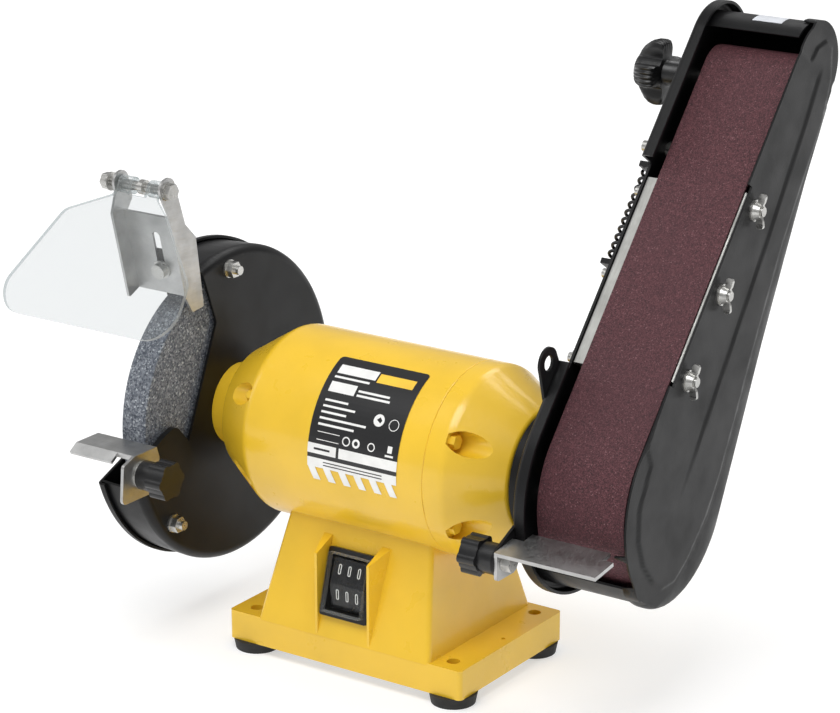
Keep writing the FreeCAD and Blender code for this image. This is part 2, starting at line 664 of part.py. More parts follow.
def guard_tab():
    """Bent tab at the upper end of the drum wall: forward, then up behind the shield bracket."""
    back = math.tan(math.radians(WEB_LEAN))

    def web_y(z):
        return WEB_FOOT_Y - (z - WEB_FOOT_Z) * back + BRACKET_SHEET + 0.15

    outline = [(-27.0, 83.2), (web_y(77.7) + 1.6, 77.7, 1.0), (web_y(98) + 1.6, 98), (web_y(98), 98),
               (web_y(76), 76, 2.0), (-27.5, 81.6)]
    strip = slab_x(outline, -129, -110)
    y, z = bracket_screw_place()
    hole = rod_along_web(y, z, -8, 8, 2.2)
    return strip.cut(hole)


BRACKET_SHEET = 1.5
BRACKET_SCREW_X = -115.5
BRACKET_SCREW_UP = 14.5


def upright_web(shape):
    """Leans a body drawn on an upright web into the bracket's place."""
    shape.rotate(Vector(0, WEB_FOOT_Y, SHAFT_Z + WEB_FOOT_Z), Vector(1, 0, 0), WEB_LEAN)
    return shape


def bracket_screw_place():
    """(y, z) of the bracket screw on the upright web's front."""
    return WEB_FOOT_Y, WEB_FOOT_Z + BRACKET_SCREW_UP


def rod_along_web(y, z, front, back, radius):
    """Cylinder square to the web, from front to back of its face."""
    start = Vector(BRACKET_SCREW_X, y + front, SHAFT_Z + z)
    return upright_web(Part.makeCylinder(radius, back - front, start, Vector(0, 1, 0)))


def make_guard_cover():
    """Outer disc of the wheel guard with a rolled rim and a domed centre."""
    rim = GUARD_RADIUS + 0.9
    face = GUARD_END - 1.6
    cover = turned([(-131, rim - 1.4), (-131, rim), (face, rim, 2.5), (face, 27, 4), (-143, 21, 3), (-143, 0),
                    (-141.5, 0), (-141.5, 20, 2), (GUARD_END - 0.1, 26, 3),
                    (GUARD_END - 0.1, rim - 1.4, 1.0)])
    cover = cover.cut(opening_wedge())
    return cover.cut(group([rod_x(-150, -120, 2.6, y, z) for y, z in guard_bolt_places()]))


def make_guard_bolts():
    """Three bolts through the drum of the guard."""
    face = GUARD_END - 1.6
    return group([
        fused([hex_x(face - 3.2, face, 8.0, y, z), rod_x(face - 1, GUARD_FACE + 8, 2.5, y, z)])
        for y, z in guard_bolt_places()
    ])


def make_guard_nuts():
    """Washer and nut on each guard bolt."""
    pieces = []
    for y, z in guard_bolt_places():
        pieces.append(ring_x(GUARD_FACE, GUARD_FACE + 1.0, 5.0, 2.5, y, z))
        nut = hex_x(GUARD_FACE + 1.0, GUARD_FACE + 5.0, 8.0, y, z)
        pieces.append(nut.cut(rod_x(-110, -90, 2.5, y, z)))
    return group(pieces)


def make_guard_mount_screws():
    """Three countersunk screws that hold the guard to the bell's neck."""
    inner = GUARD_FACE - GUARD_SHEET
    screws = []
    for angle in GUARD_MOUNT_ANGLES:
        y, z = polar(angle, GUARD_MOUNT_CIRCLE)
        cone = Part.makeCone(4.6, 2.5, 1.5, Vector(inner, y, SHAFT_Z + z), Vector(1, 0, 0))
        screws.append(fused([cone, rod_x(inner + 0.5, -94, 2.5, y, z)]))
    return group(screws)


def make_wheel():
    """Grinding wheel with slightly broken edges."""
    return turned([(WHEEL_OUTER, WHEEL_SEAT_RADIUS), (WHEEL_OUTER, WHEEL_RADIUS, 0.8),
                   (WHEEL_INNER, WHEEL_RADIUS, 0.8), (WHEEL_INNER, WHEEL_SEAT_RADIUS)])


def make_blotters():
    """Paper discs between the wheel and its flanges."""
    return group([ring_x(x0, x0 + 0.4, 27.0, WHEEL_SEAT_RADIUS) for x0 in (WHEEL_INNER, WHEEL_OUTER - 0.4)])


def make_inner_flange():
    """Flange behind the wheel, its hub against the shaft's shoulder."""
    face = WHEEL_INNER + 0.4
    return turned([(face, WHEEL_SEAT_RADIUS), (face, 26), (face + 2.0, 26), (face + 2.0, 12), (-98, 12),
                   (-98, WHEEL_SEAT_RADIUS)])


def make_outer_flange():
    """Dished flange in front of the wheel."""
    face = WHEEL_OUTER - 0.4
    return turned([(face, 18), (face, 26), (face - 2, 26), (face - 3, 20), (face - 3, WHEEL_SEAT_RADIUS),
                   (face - 0.8, WHEEL_SEAT_RADIUS), (face - 0.8, 18)])


def make_wheel_nut():
    """Left-hand nut that clamps the wheel."""
    return hex_x(-137, -129, 19.0).cut(rod_x(-140, -120, 6.0))


# ---------------------------------------------------------------- eye shield
def web_slab(points, x0, x1):
    """Prism along X, drawn on the upright web as (out behind it, up) corners."""
    corners = with_radius(points)
    shape = slab_x([(WEB_FOOT_Y + y, WEB_FOOT_Z + z, r) for y, z, r in corners], x0, x1)
    return upright_web(shape)


BRACKET_LEFT = -134.5
BRACKET_RIGHT = -105.0
ROD_ON_WEB = (2.5, 61.0)


def make_shield_bracket():
    """Bent steel bracket: slotted web, one flange forward, one flange back, two lugs for the rod."""
    rod_y, rod_z_up = ROD_ON_WEB
    web = web_slab([(0, 0), (0, WEB_LENGTH), (BRACKET_SHEET, WEB_LENGTH), (BRACKET_SHEET, 0)],
                   BRACKET_LEFT, BRACKET_RIGHT)
    left = web_slab([(-9.1, -1.6, 1), (-9.1, 48.5, 3), (-3.2, 58, 2), (rod_y - 6, rod_z_up + 7, 5.5),
                     (rod_y + 6, rod_z_up + 7, 5.5), (rod_y + 6, 50, 2), (BRACKET_SHEET, 44, 0),
                     (BRACKET_SHEET, 0.5, 0)], BRACKET_LEFT - BRACKET_SHEET, BRACKET_LEFT)
    right = web_slab([(0, 0, 0), (0, 46.5, 0), (rod_y - 6, rod_z_up, 0), (rod_y - 6, rod_z_up + 7, 5.5),
                      (rod_y + 6, rod_z_up + 7, 5.5), (rod_y + 8.5, 37.5, 0), (17.3, 27.1, 1),
                      (13.2, -12.9, 1), (3.6, -11.6, 1)], BRACKET_RIGHT, BRACKET_RIGHT + BRACKET_SHEET)
    slot_x = BRACKET_SCREW_X
    slot = upright_web(Part.makeBox(5.0, 20, 22.5, Vector(slot_x - 2.5, WEB_FOOT_Y - 5,
                                                         SHAFT_Z + WEB_FOOT_Z + 11.5)))
    ends = []
    for up in (11.5, 34.0):
        ends.append(rod_along_web(WEB_FOOT_Y, WEB_FOOT_Z + up, -5, 15, 2.5))
    bracket = fused([web, left, right]).cut(group([slot] + ends))
    return bracket.cut(group([rod_x(-150, -90, ROD_RADIUS, ROD_Y, ROD_Z)]))


def make_bracket_screw():
    """Pan head screw with its washer through the web's slot, and its nut behind the tab."""
    y, z = bracket_screw_place()
    head = rod_along_web(y, z, -4.4, -1.2, 4.2)
    washer = rod_along_web(y, z, -1.2, -0.1, 5.2)
    shank = rod_along_web(y, z, -2.0, 7.5, 2.0)
    nut = rod_along_web(y, z, BRACKET_SHEET + 1.7, BRACKET_SHEET + 4.6, 3.8)
    return fused([head, washer, shank, nut])


def make_shield_rod():
    """Hinge bolt of the eye shield with its head, spacer collar and nut."""
    rod = rod_x(-142.2, -99.5, ROD_RADIUS, ROD_Y, ROD_Z)
    head = hex_x(-146, -142, 8.0, ROD_Y, ROD_Z)
    washer = rod_x(-142.2, -141.0, 5.0, ROD_Y, ROD_Z)
    collar = rod_x(-121.2, -118.2, 4.0, ROD_Y, ROD_Z)
    return fused([head, rod, washer, collar])


def make_rod_nut():
    """Nut and washer on the hinge bolt."""
    face = BRACKET_RIGHT + BRACKET_SHEET
    washer = ring_x(face, face + 0.9, 5.0, ROD_RADIUS, ROD_Y, ROD_Z)
    nut = hex_x(face + 0.9, face + 3.9, 8.0, ROD_Y, ROD_Z).cut(rod_x(-120, -90, ROD_RADIUS, ROD_Y, ROD_Z))
    return fused([washer, nut])


SHIELD_SHEET = 2.4


def make_eye_shield():
    """Clear sheet with rounded shoulders, hung on the rod by two barrels."""
    outline = [(-133.6, -2, 1), (-133.6, 7, 4), (-163, 20, 10), (-188.5, 66, 13), (-181, 80, 13),
               (-70, 80, 20), (-70, 47, 10), (-97, 14, 14), (-105.9, 6, 4), (-105.9, -2, 1)]
    front = ROD_Y - 4.7
    wire = rounded_wire(outline, lambda x, down: Vector(x, front, SHAFT_Z + ROD_Z - down))
    sheet = Part.Face(wire).extrude(Vector(0, SHIELD_SHEET, 0))
    barrels = [rod_x(x0, x0 + 8.0, 4.7, ROD_Y, ROD_Z) for x0 in (-133.6, -113.9)]
    shield = fused([sheet] + barrels)
    # The sheet stays clear of the rod's spacer collar between the barrels.
    shield = shield.cut(group([box(-125.6, -113.9, front - 1, ROD_Y + 5, ROD_Z - 6, ROD_Z + 6),
                               rod_x(-140, -100, ROD_RADIUS + 0.3, ROD_Y, ROD_Z)]))
    shield.rotate(Vector(0, ROD_Y, SHAFT_Z + ROD_Z), Vector(1, 0, 0), -SHIELD_TILT)
    return shield


# ---------------------------------------------------------------- left tool rest
def make_left_rest_arm():
    """Thick strap, welded to the guard's plate, that carries the rest's bolt."""
    outline = [(-46, -9, 2), (-58, 4, 6), (-67, 1, 6), (-77, -4, 3), (-98, -5, 6), (-98, -22, 6),
               (-62, -31, 6),
               (-44, -24, 3)]
    strap = slab_x(outline, GUARD_FACE, LEFT_FLANGE_FACE - REST_SHEET - 0.1)
    return strap.cut(rod_x(-110, -90, 3.0, LEFT_BOLT_Y, LEFT_BOLT_Z))


def make_left_rest():
    """Bent sheet rest: table with a sloping front lip, and a slotted flange."""
    table_top = -2.0
    table = slab_x([(-77, table_top), (-95, table_top), (-100.7, table_top - 3.8), (-99.7, table_top - 5.3),
                    (-94.4, table_top - REST_SHEET), (-77, table_top - REST_SHEET)], -140.5, LEFT_FLANGE_FACE)
    notch = box(-112, -90, -110, -95.5, -20, 0)
    flange = slab_x([(-77, table_top, 0), (-95, table_top, 0), (-104.3, -5.2, 2), (-106.3, -26.5, 3),
                     (-75, -26.5, 2), (-75, -8, 0)], LEFT_FLANGE_FACE - REST_SHEET, LEFT_FLANGE_FACE)
    rest = fused([table.cut(notch), flange])
    slot = fused([box(-110, -90, LEFT_BOLT_Y - 1.2, LEFT_BOLT_Y + 12.2, LEFT_BOLT_Z - 3.1, LEFT_BOLT_Z + 3.1),
                  rod_x(-110, -90, 3.1, LEFT_BOLT_Y - 1.2, LEFT_BOLT_Z),
                  rod_x(-110, -90, 3.1, LEFT_BOLT_Y + 12.2, LEFT_BOLT_Z)])
    return rest.cut(slot)


def make_left_rest_bolt():
    """Coach bolt through the strap and the rest's slot."""
    inner = GUARD_FACE
    return fused([rod_x(inner - 2.8, inner, 6.0, LEFT_BOLT_Y, LEFT_BOLT_Z),
                  rod_x(inner - 1, LEFT_FLANGE_FACE + 14, 2.9, LEFT_BOLT_Y, LEFT_BOLT_Z)])


def lobed_knob(x_head, x_collar, y, z, radius, lobes, collar_radius, bore, bore_end):
    """Knob along X: lobed head at x_head, plain collar at x_collar, blind bore for its screw."""
    step = 1 if x_collar > x_head else -1
    length = abs(x_collar - x_head)
    head_end = x_head + step * length * 0.55
    h0, h1 = sorted((x_head, head_end))
    c0, c1 = sorted((head_end, x_collar))
    head = rod_x(h0, h1, radius * 0.86, y, z)
    bumps = []
    for index in range(lobes):
        turn = math.radians(360 / lobes * index)
        bumps.append(rod_x(h0, h1, radius * 0.27, y + radius * 0.73 * math.cos(turn),
                           z + radius * 0.73 * math.sin(turn)))
    collar = rod_x(c0, c1, collar_radius, y, z)
    knob = fused([head] + bumps + [collar])
    b0, b1 = sorted((x_collar + step, bore_end))
    return knob.cut(rod_x(b0, b1, bore, y, z))


def make_left_knob():
    """Clamping knob of the left rest."""
    return lobed_knob(LEFT_FLANGE_FACE + 20.0, LEFT_FLANGE_FACE + 1.3, LEFT_BOLT_Y, LEFT_BOLT_Z, 10.5, 6,
                      8.0, 3.0,
                      LEFT_FLANGE_FACE + 15)


def make_left_washer():
    """Washer between the knob and the rest's flange."""
    face = LEFT_FLANGE_FACE + 0.1
    return ring_x(face, face + 1.0, 7.5, 2.9, LEFT_BOLT_Y, LEFT_BOLT_Z)


# ---------------------------------------------------------------- sanding arm
def ear(place, x0, x1):
    """Ear of the back plate around an (s, n) hole centre."""
    s, n = place
    length = math.hypot(s, n)
    along = (s / length, n / length)
    across = (-along[1], along[0])

    def corner(out, side):
        return along[0] * out + across[0] * side, along[1] * out + across[1] * side

    body = arm_slab([corner(40, -12), corner(40, 12), corner(length, 8.2), corner(length, -8.2)], x0, x1)
    return fused([body, arm_rod(x0, x1, 8.3, s, n)])


def make_back_plate():
    """Pan-shaped plate on the motor side of the arm, with two ears and the slide's slot."""
    outer = tapered_slab(PLATE_FACE, PLATE_RIM_END, PLATE_RADIUS_LOW, PLATE_RADIUS_HIGH)
    rim_edges = [edge for edge in outer.Edges if abs(edge.BoundBox.XMax - PLATE_FACE) < 1e-6]
    outer = outer.makeFillet(3.0, rim_edges)
    inner = tapered_slab(PLATE_FACE + PLATE_SHEET, PLATE_RIM_END + 1, PLATE_RADIUS_LOW - PLATE_SHEET,
                         PLATE_RADIUS_HIGH - PLATE_SHEET)
    floor_edges = [edge for edge in inner.Edges if abs(edge.BoundBox.XMax - PLATE_FACE - PLATE_SHEET) < 1e-6]
    inner = inner.makeFillet(1.8, floor_edges)
    plate = outer.cut(inner)
    plate = plate.cut(front_band(WINDOW_LOW, WINDOW_HIGH + 5, 1.6, 40, PLATE_FACE - 1, PLATE_RIM_END + 1))
    ears = [ear(place, PLATE_FACE, PLATE_FACE + PLATE_SHEET) for place in (REST_EAR, SPARE_EAR)]
    lug = arm_slab(rectangle(110, 113, 8, 21), SPRING_X - 3, PLATE_FACE)
    plate = fused([plate] + ears + [lug])
    cuts = [arm_rod(100, 120, 3.1, *REST_EAR), arm_rod(100, 120, 4.0, *SPARE_EAR),
            arm_rod(100, 120, SPIGOT_RADIUS + 0.05, 0, 0)]
    cuts += [arm_rod(105, 115, 2.5, s, belt_line(s, STUD_DEPTH)) for s in STUD_PLACES]
    cuts += [arm_rod(105, 115, 3.0, *place) for place in GUIDE_PLACES]
    cuts += [arm_rod(105, 120, 2.5, *place) for place in collar_screw_places()]
    cuts.append(arm_slab(rectangle(DRUM_SPACING - 12, DRUM_SPACING + 2, -4.5, 4.5), 105, 120))
    cuts.append(arm_rod(105, 120, 4.5, DRUM_SPACING - 12, 0))
    cuts.append(arm_rod(105, 120, 4.5, DRUM_SPACING + 2, 0))
    return lean(plate.cut(group(cuts)))


SPRING_X = 101.4
SPRING_RADIUS = 3.8
SPRING_WIRE = 0.9
SPRING_END_GAP = 0.7
SPRING_LOW = (113.0, 15.0)
SPRING_HIGH = (167.0, 7.5)
GUIDE_PLACES = ((178.5, 12.5), (205.0, -8.0))


COLLAR_SCREW_CIRCLE = 29.4


def collar_screw_places():
    """(s, n) of the three screws that join the clamp collar to the back plate."""
    angles = [math.radians(turn) for turn in (0, 120, 240)]
    return [(COLLAR_SCREW_CIRCLE * math.cos(angle),
             COLLAR_SCREW_CIRCLE * math.sin(angle)) for angle in angles]


def make_collar():
    """Clamp collar that turns on the end bell's spigot."""
    ring = ring_x(RIGHT_BELL_END + 1.0, PLATE_FACE, 34.0, SPIGOT_RADIUS + 0.05)
    ring = ring.cut(group([arm_rod(90, 115, 2.5, *place) for place in collar_screw_places()]))
    screw_hole = Part.makeCylinder(4.0, 30, Vector(102, 10, SHAFT_Z), Vector(0, 1, 0))
    return lean(ring.cut(screw_hole))


def make_collar_screws():
    """Three screws through the back plate into the collar."""
    screws = []
    for place in collar_screw_places():
        head = PLATE_FACE + PLATE_SHEET
        screws.append(fused([arm_rod(head, head + 2.4, 4.4, *place), arm_rod(96, head + 1, 2.5, *place)]))
    return lean(group(screws))


def make_lock_bolt():
    """Hexagonal bolt at the back of the collar that clamps the arm at its angle."""
    shank = Part.makeCylinder(4.0, 18, Vector(102, SPIGOT_RADIUS + 0.4, SHAFT_Z), Vector(0, 1, 0))
    head = hex_x(0, 5.3, 13.0, 0, -SHAFT_Z)
    head.rotate(Vector(0, 0, 0), Vector(0, 0, 1), 90)
    head.translate(Vector(102, SPIGOT_RADIUS + 18, SHAFT_Z))
    return lean(fused([shank, head]))


def make_arm_wall():
    """Wall between the back plate and the cover: round the drum, up the back and over the top."""
    outer = tapered_slab(PLATE_FACE + PLATE_SHEET, WALL_END, WALL_RADIUS_LOW, WALL_RADIUS_HIGH)
    inner = tapered_slab(100, 180, WALL_RADIUS_LOW - WALL_SHEET, WALL_RADIUS_HIGH - WALL_SHEET)
    wall = outer.cut(inner)
    open_front = arm_slab([(-70, 17), (-70, 90), (246, 90), (246, 14), (200, 5), (0, 30), (-40, 15)], 100,
                          180)
    return lean(wall.cut(open_front))


def bevel_cutter(line, x):
    """Block over the cover's rear face, outside a line through two (s, n), sloping in from the height x."""
    start, end = [Vector(x, -n, SHAFT_Z + s) for s, n in line]
    along = (end - start).normalize()
    outward = Vector(1, 0, 0).cross(along)
    if outward.dot(start - Vector(x, 0, SHAFT_Z)) < 0:
        outward = outward * -1
    slope = math.radians(COVER_BEVEL)
    down = outward * math.cos(slope) - Vector(1, 0, 0) * math.sin(slope)
    up = Vector(1, 0, 0) * math.cos(slope) + outward * math.sin(slope)
    corners = [start - along * 250, start + along * 250]
    corners += [corner + down * 60 for corner in reversed(corners)]
    return Part.Face(Part.makePolygon(corners + corners[:1])).extrude(up * 20)


def cover_body(inset, x0, x1, round_radius):
    """Solid with the cover's outline, its face edge rounded and its rear bevelled."""
    body = tapered_slab(x0, x1, COVER_RADIUS_LOW - inset, COVER_RADIUS_HIGH - inset)
    body = body.makeFillet(round_radius, [edge for edge in body.Edges if abs(edge.BoundBox.XMin - x1) < 1e-6])
    for line in COVER_BEVEL_LINES:
        body = body.cut(bevel_cutter(line, x1))
    return body


def make_arm_cover():
    """Outer cover: rounded rear rim, flat front edge, raised panel and a notch beside the platen."""
    outer = cover_body(0, COVER_RIM_START, COVER_FACE, 3.5)
    inner = cover_body(WALL_SHEET, COVER_RIM_START - 1, COVER_FACE - PLATE_SHEET, 2.2)
    front = arm_slab([(-70, 17), (-70, 90), (300, 90), (252, 14), (200, 5), (0, 30), (-40, 15)], 160, 180)
    face = tapered_slab(COVER_FACE - PLATE_SHEET, COVER_FACE, COVER_FRONT_LOW, COVER_FRONT_HIGH)
    cover = fused([outer.cut(inner).cut(front), face.common(front), raised_panel()])
    cover = cover.cut(front_band(WINDOW_LOW, WINDOW_HIGH, -0.3, 40, 160, 180))
    studs = [arm_rod(165, 180, 2.6, s, belt_line(s, STUD_DEPTH)) for s in STUD_PLACES]
    return lean(cover.cut(group(studs)))


def raised_panel():
    """Low raised panel on the cover, from the crease down its middle to the rear bevel."""
    height = 0.7
    outline = [(240, 8.5, 6), (255, 3.0, 8), (254, -14, 9), (215, -23.2, 30), (87, -25.5, 30),
               (26, -31.5, 40),
               (3, -31.5, 30), (-40, -17.5, 12), (-45, 3.5, 3), (-2, 2.5, 30), (45, 0, 60), (148, -4.5, 60),
               (208, -5.6, 40), (234, -5.0, 6)]
    panel = arm_slab(outline, COVER_FACE - 0.5, COVER_FACE + height)
    edges = [edge for edge in panel.Edges if abs(edge.BoundBox.XMin - COVER_FACE - height) < 1e-6]
    return panel.makeFillet(0.6, edges)


def make_platen():
    """Channel-shaped steel plate behind the working side of the belt."""
    low, high = WINDOW_LOW + 3.5, WINDOW_HIGH - 3.0
    left, right = PLATE_FACE + PLATE_SHEET, COVER_FACE - PLATE_SHEET - 0.1
    surface = BELT_THICKNESS + 0.25
    outer = front_band(low, high, surface + 18, -surface, left, right)
    along = [edge for edge in outer.Edges
             if edge.Length > high - low - 1 and edge.CenterOfMass.y < outer.CenterOfMass.y]
    outer = outer.makeFillet(2.2, along)
    inner = front_band(low - 5, high + 5, surface + 25, -surface - 2.0, left + 2.0, right - 2.0)
    platen = outer.cut(inner)
    holes = [arm_rod(100, 180, 2.5, s, belt_line(s, STUD_DEPTH)) for s in STUD_PLACES]
    return lean(platen.cut(group(holes)))


def make_platen_studs():
    """Six studs in the platen's sides: three through the back plate, three through the cover."""
    studs = []
    for s in STUD_PLACES:
        n = belt_line(s, STUD_DEPTH)
        studs.append(fused([arm_rod(104.6, 118, 2.5, s, n), arm_rod(114.1, 116.5, 4.5, s, n)]))
        studs.append(fused([arm_rod(166.0, 178.8, 2.5, s, n), arm_rod(166.6, 169.4, 4.5, s, n)]))
    return lean(group(studs))


def make_platen_nuts():
    """Three nuts on the motor side of the arm."""
    nuts = []
    for s in STUD_PLACES:
        n = belt_line(s, STUD_DEPTH)
        nut = arm_hex(PLATE_FACE - 3.4, PLATE_FACE, 8.0, s, n)
        nuts.append(nut.cut(arm_rod(100, 115, 2.5, s, n)))
    return lean(group(nuts))


def make_wing_washers():
    """Three washers under the wing nuts."""
    washers = []
    for s in STUD_PLACES:
        n = belt_line(s, STUD_DEPTH)
        washer = arm_rod(COVER_FACE, COVER_FACE + 1.0, 5.6, s, n).cut(arm_rod(170, 180, 2.5, s, n))
        washers.append(washer)
    return lean(group(washers))


def make_wing_nut(s):
    """Wing nut: conical hub with two rounded wings."""
    n = belt_line(s, STUD_DEPTH)
    base = COVER_FACE + 1.1
    hub = Part.makeCone(4.6, 3.6, 3.4, Vector(base, -n, SHAFT_Z + s), Vector(1, 0, 0))
    wings = []
    for side in (-1, 1):
        outline = [(base + 0.6, side * 2.0, 0), (base + 0.8, side * 4.2, 0.8), (base + 1.6, side * 9.4, 1.6),
                   (base + 5.4, side * 8.6, 1.6), (base + 4.6, side * 4.6, 1.4), (base + 3.2, side * 2.0, 0)]
        wire = rounded_wire(outline, lambda x, up: Vector(x, -n - 1.0, SHAFT_Z + s + up))
        wings.append(Part.Face(wire).extrude(Vector(0, 2.0, 0)))
    nut = fused([hub] + wings).cut(arm_rod(170, 190, 2.55, s, n))
    nut.rotate(Vector(base, -n, SHAFT_Z + s), Vector(1, 0, 0), ARM_LEAN - 8)
    return lean(nut)


def make_belt():
    """Endless abrasive belt, stretched round the drum and the idler."""
    outer = tapered_slab(BELT_LEFT, BELT_RIGHT, BELT_RADIUS_LOW, BELT_RADIUS_HIGH, DRUM_SPACING)
    inner = tapered_slab(BELT_LEFT - 1, BELT_RIGHT + 1, BELT_RADIUS_LOW - BELT_THICKNESS,
                         BELT_RADIUS_HIGH - BELT_THICKNESS, DRUM_SPACING)
    return lean(outer.cut(inner))


def make_drive_drum():
    """Aluminium drum on the shaft's right end, webbed inside."""
    rim = BELT_RADIUS_LOW - BELT_THICKNESS - DRUM_GAP
    return turned([(122.2, DRUM_SEAT_RADIUS), (122.2, 14), (138, 14), (138, rim - 5), (118.6, rim - 5),
                   (118.6, rim, 0.8), (168.9, rim, 0.8), (168.9, rim - 5), (146, rim - 5), (146, 14),
                   (150, 14),
                   (150, DRUM_SEAT_RADIUS)])


def make_drum_nut():
    """Nut and washer that hold the drum."""
    washer = ring_x(150, 151.5, 11.0, DRUM_SEAT_RADIUS)
    return fused([washer, hex_x(151.5, 158.5, 17.0).cut(rod_x(140, 170, DRUM_SEAT_RADIUS))])


def make_idler():
    """Idler pulley, bored for a bearing at each end."""
    rim = BELT_RADIUS_HIGH - BELT_THICKNESS - DRUM_GAP
    body = arm_rod(119.2, 169.8, rim, DRUM_SPACING, 0)
    body = body.makeFillet(0.8, [edge for edge in body.Edges if edge.Closed])
    bore = arm_rod(100, 180, 9.0, DRUM_SPACING, 0)
    seats = [arm_rod(118, 128, 11.0, DRUM_SPACING, 0), arm_rod(161, 171, 11.0, DRUM_SPACING, 0)]
    return lean(body.cut(group([bore] + seats)))


def make_idler_bearings():
    """Two small ball bearings in the idler."""
    rings = []
    for x0 in (121.0, 161.0):
        rings.append(arm_rod(x0, x0 + 7, 11.0, DRUM_SPACING, 0).cut(arm_rod(100, 180, 4.05, DRUM_SPACING, 0)))
    return lean(group(rings))


def make_idler_axle():
    """Axle of the idler, with a nut behind the slide and a thread for the tracking knob."""
    head = arm_hex(SLIDE_FACE - 5.5, SLIDE_FACE, 13.0, DRUM_SPACING, 0)
    pin = arm_rod(92.0, 169.2, 4.0, DRUM_SPACING, 0)
    shoulder = arm_rod(PLATE_FACE - 0.3, 120.6, 4.3, DRUM_SPACING, 0)
    return lean(fused([head, pin, shoulder]))


def make_axle_clip():
    """Spring clip at the axle's end."""
    return lean(arm_rod(168.2, 169.1, 6.5, DRUM_SPACING, 0).cut(arm_rod(160, 175, 4.0, DRUM_SPACING, 0)))


def make_tension_slide():
    """Plate that carries the idler and slides along the back of the arm."""
    outline = [(164, -16, 3), (164, 20, 4), (188, 20, 6), (202, 13, 6), (240, 13, 12), (240, -13, 12),
               (200, -16, 6)]
    plate = arm_slab(outline, SLIDE_FACE, PLATE_FACE - 0.3)
    lug = arm_slab(rectangle(167, 170, 1, 14), SPRING_X - 3, SLIDE_FACE)
    slide = fused([plate, lug])
    cuts = [arm_rod(100, 115, 4.0, DRUM_SPACING, 0)]
    for s, n in GUIDE_PLACES:
        cuts.append(arm_slab(rectangle(s - 0.5, s + 8.5, n - 3.2, n + 3.2), 100, 115))
        cuts.append(arm_rod(100, 115, 3.2, s - 0.5, n))
        cuts.append(arm_rod(100, 115, 3.2, s + 8.5, n))
    return lean(slide.cut(group(cuts)))


def make_guide_bolts():
    """Two shouldered bolts that the slide runs on."""
    bolts = []
    for (s, n), shank_start in zip(GUIDE_PLACES, (97.0, SLIDE_FACE - 1.2)):
        shank = arm_rod(shank_start, PLATE_FACE + PLATE_SHEET + 1, 3.0, s, n)
        washer = arm_rod(SLIDE_FACE - 1.2, SLIDE_FACE - 0.2, 5.2, s, n)
        head = arm_hex(SLIDE_FACE - 5.2, SLIDE_FACE - 1.2, 8.0, s, n)
        tail = arm_rod(PLATE_FACE + PLATE_SHEET, PLATE_FACE + PLATE_SHEET + 2.5, 4.5, s, n)
        bolts.append(fused([shank, washer, head, tail]))
    return lean(group(bolts))


def make_tension_spring():
    """Coil spring that presses the slide away from the drum."""
    run = Vector(0, -(SPRING_HIGH[1] - SPRING_LOW[1]), SPRING_HIGH[0] - SPRING_LOW[0])
    turns = 11
    length = run.Length - 2 * SPRING_END_GAP
    helix = Part.makeHelix(length / turns, length - 2 * SPRING_WIRE, SPRING_RADIUS - SPRING_WIRE)
    start = Vector(SPRING_RADIUS - SPRING_WIRE, 0, 0)
    section = Part.Wire(Part.makeCircle(SPRING_WIRE, start, Vector(0, 1, 0)))
    spring = Part.Wire(helix).makePipeShell([section], True, True)
    spring.translate(Vector(0, 0, SPRING_END_GAP + SPRING_WIRE))
    spring.rotate(Vector(0, 0, 0), Vector(1, 0, 0), math.degrees(math.atan2(-run.y, run.z)))
    spring.translate(Vector(SPRING_X, -SPRING_LOW[1], SHAFT_Z + SPRING_LOW[0]))
    return lean(spring)


def make_tracking_knob():
    """Large knob with four lobes, on the thread of the idler's axle; it sets how the belt tracks."""
    head0, head1 = 73.0, 89.5
    core = arm_rod(head0, head1, 9.5, DRUM_SPACING, 0)
    lobes = []
    for index in range(4):
        turn = math.radians(90 * index)
        lobes.append(arm_rod(head0 + 3, head1, 6.5, DRUM_SPACING + 11.3 * math.cos(turn),
                             11.3 * math.sin(turn)))
    hub = arm_rod(head1 - 1, 101.4, 6.8, DRUM_SPACING, 0)
    return lean(fused([core] + lobes + [hub]).cut(arm_rod(91.5, 110, 4.05, DRUM_SPACING, 0)))


def make_sticker():
    """Small blank sticker on top of the arm's wall."""
    s0 = COVER_SPACING
    ring = arm_rod(138, 155, WALL_RADIUS_HIGH + 0.2, s0, 0).cut(arm_rod(130, 160, WALL_RADIUS_HIGH, s0, 0))
    keep = arm_slab([(s0, 0), (s0 + 35.3, 18.8), (s0 + 24.6, 31.5)], 130, 160)
    return lean(ring.common(keep))


def make_right_rest():
    """Bent plate in front of the belt, with its flange against the lower ear."""
    left = PLATE_FACE + PLATE_SHEET
    tilt = 7.6
    table = slab_z([(left, -76), (170.4, -76), (170.4, -58.8), (164.2, -58.8), (164.2, -51), (119.0, -51),
                    (119.0, -59.2), (left, -59.2)], 0, 2.0)
    table.rotate(Vector(0, -76, 0), Vector(1, 0, 0), tilt)
    table.translate(Vector(0, 0, SHAFT_Z - 14.8 - 2.0))
    flange = slab_x([(-76.2, -14.9, 0), (-59.2, -12.8, 0), (-59.2, -30, 2), (-76.2, -30, 2)], left + 0.1,
                    RIGHT_FLANGE_FACE + 0.1)
    bolt_y, bolt_z = rest_bolt_place()
    slot = fused([box(105, 120, bolt_y - 1.0, bolt_y + 4.0, bolt_z - 3.1, bolt_z + 3.1),
                  rod_x(105, 120, 3.1, bolt_y - 1.0, bolt_z), rod_x(105, 120, 3.1, bolt_y + 4.0, bolt_z)])
    shift = box(left - 1, left + 0.1, -80, -55, -40, 0)
    return fused([table, flange]).cut(slot).cut(shift)


def rest_bolt_place():
    """(y, z) of the lower ear's hole once the arm leans."""
    turn = math.radians(ARM_LEAN)
    s, n = REST_EAR
    return s * math.sin(turn) - n * math.cos(turn), s * math.cos(turn) + n * math.sin(turn)


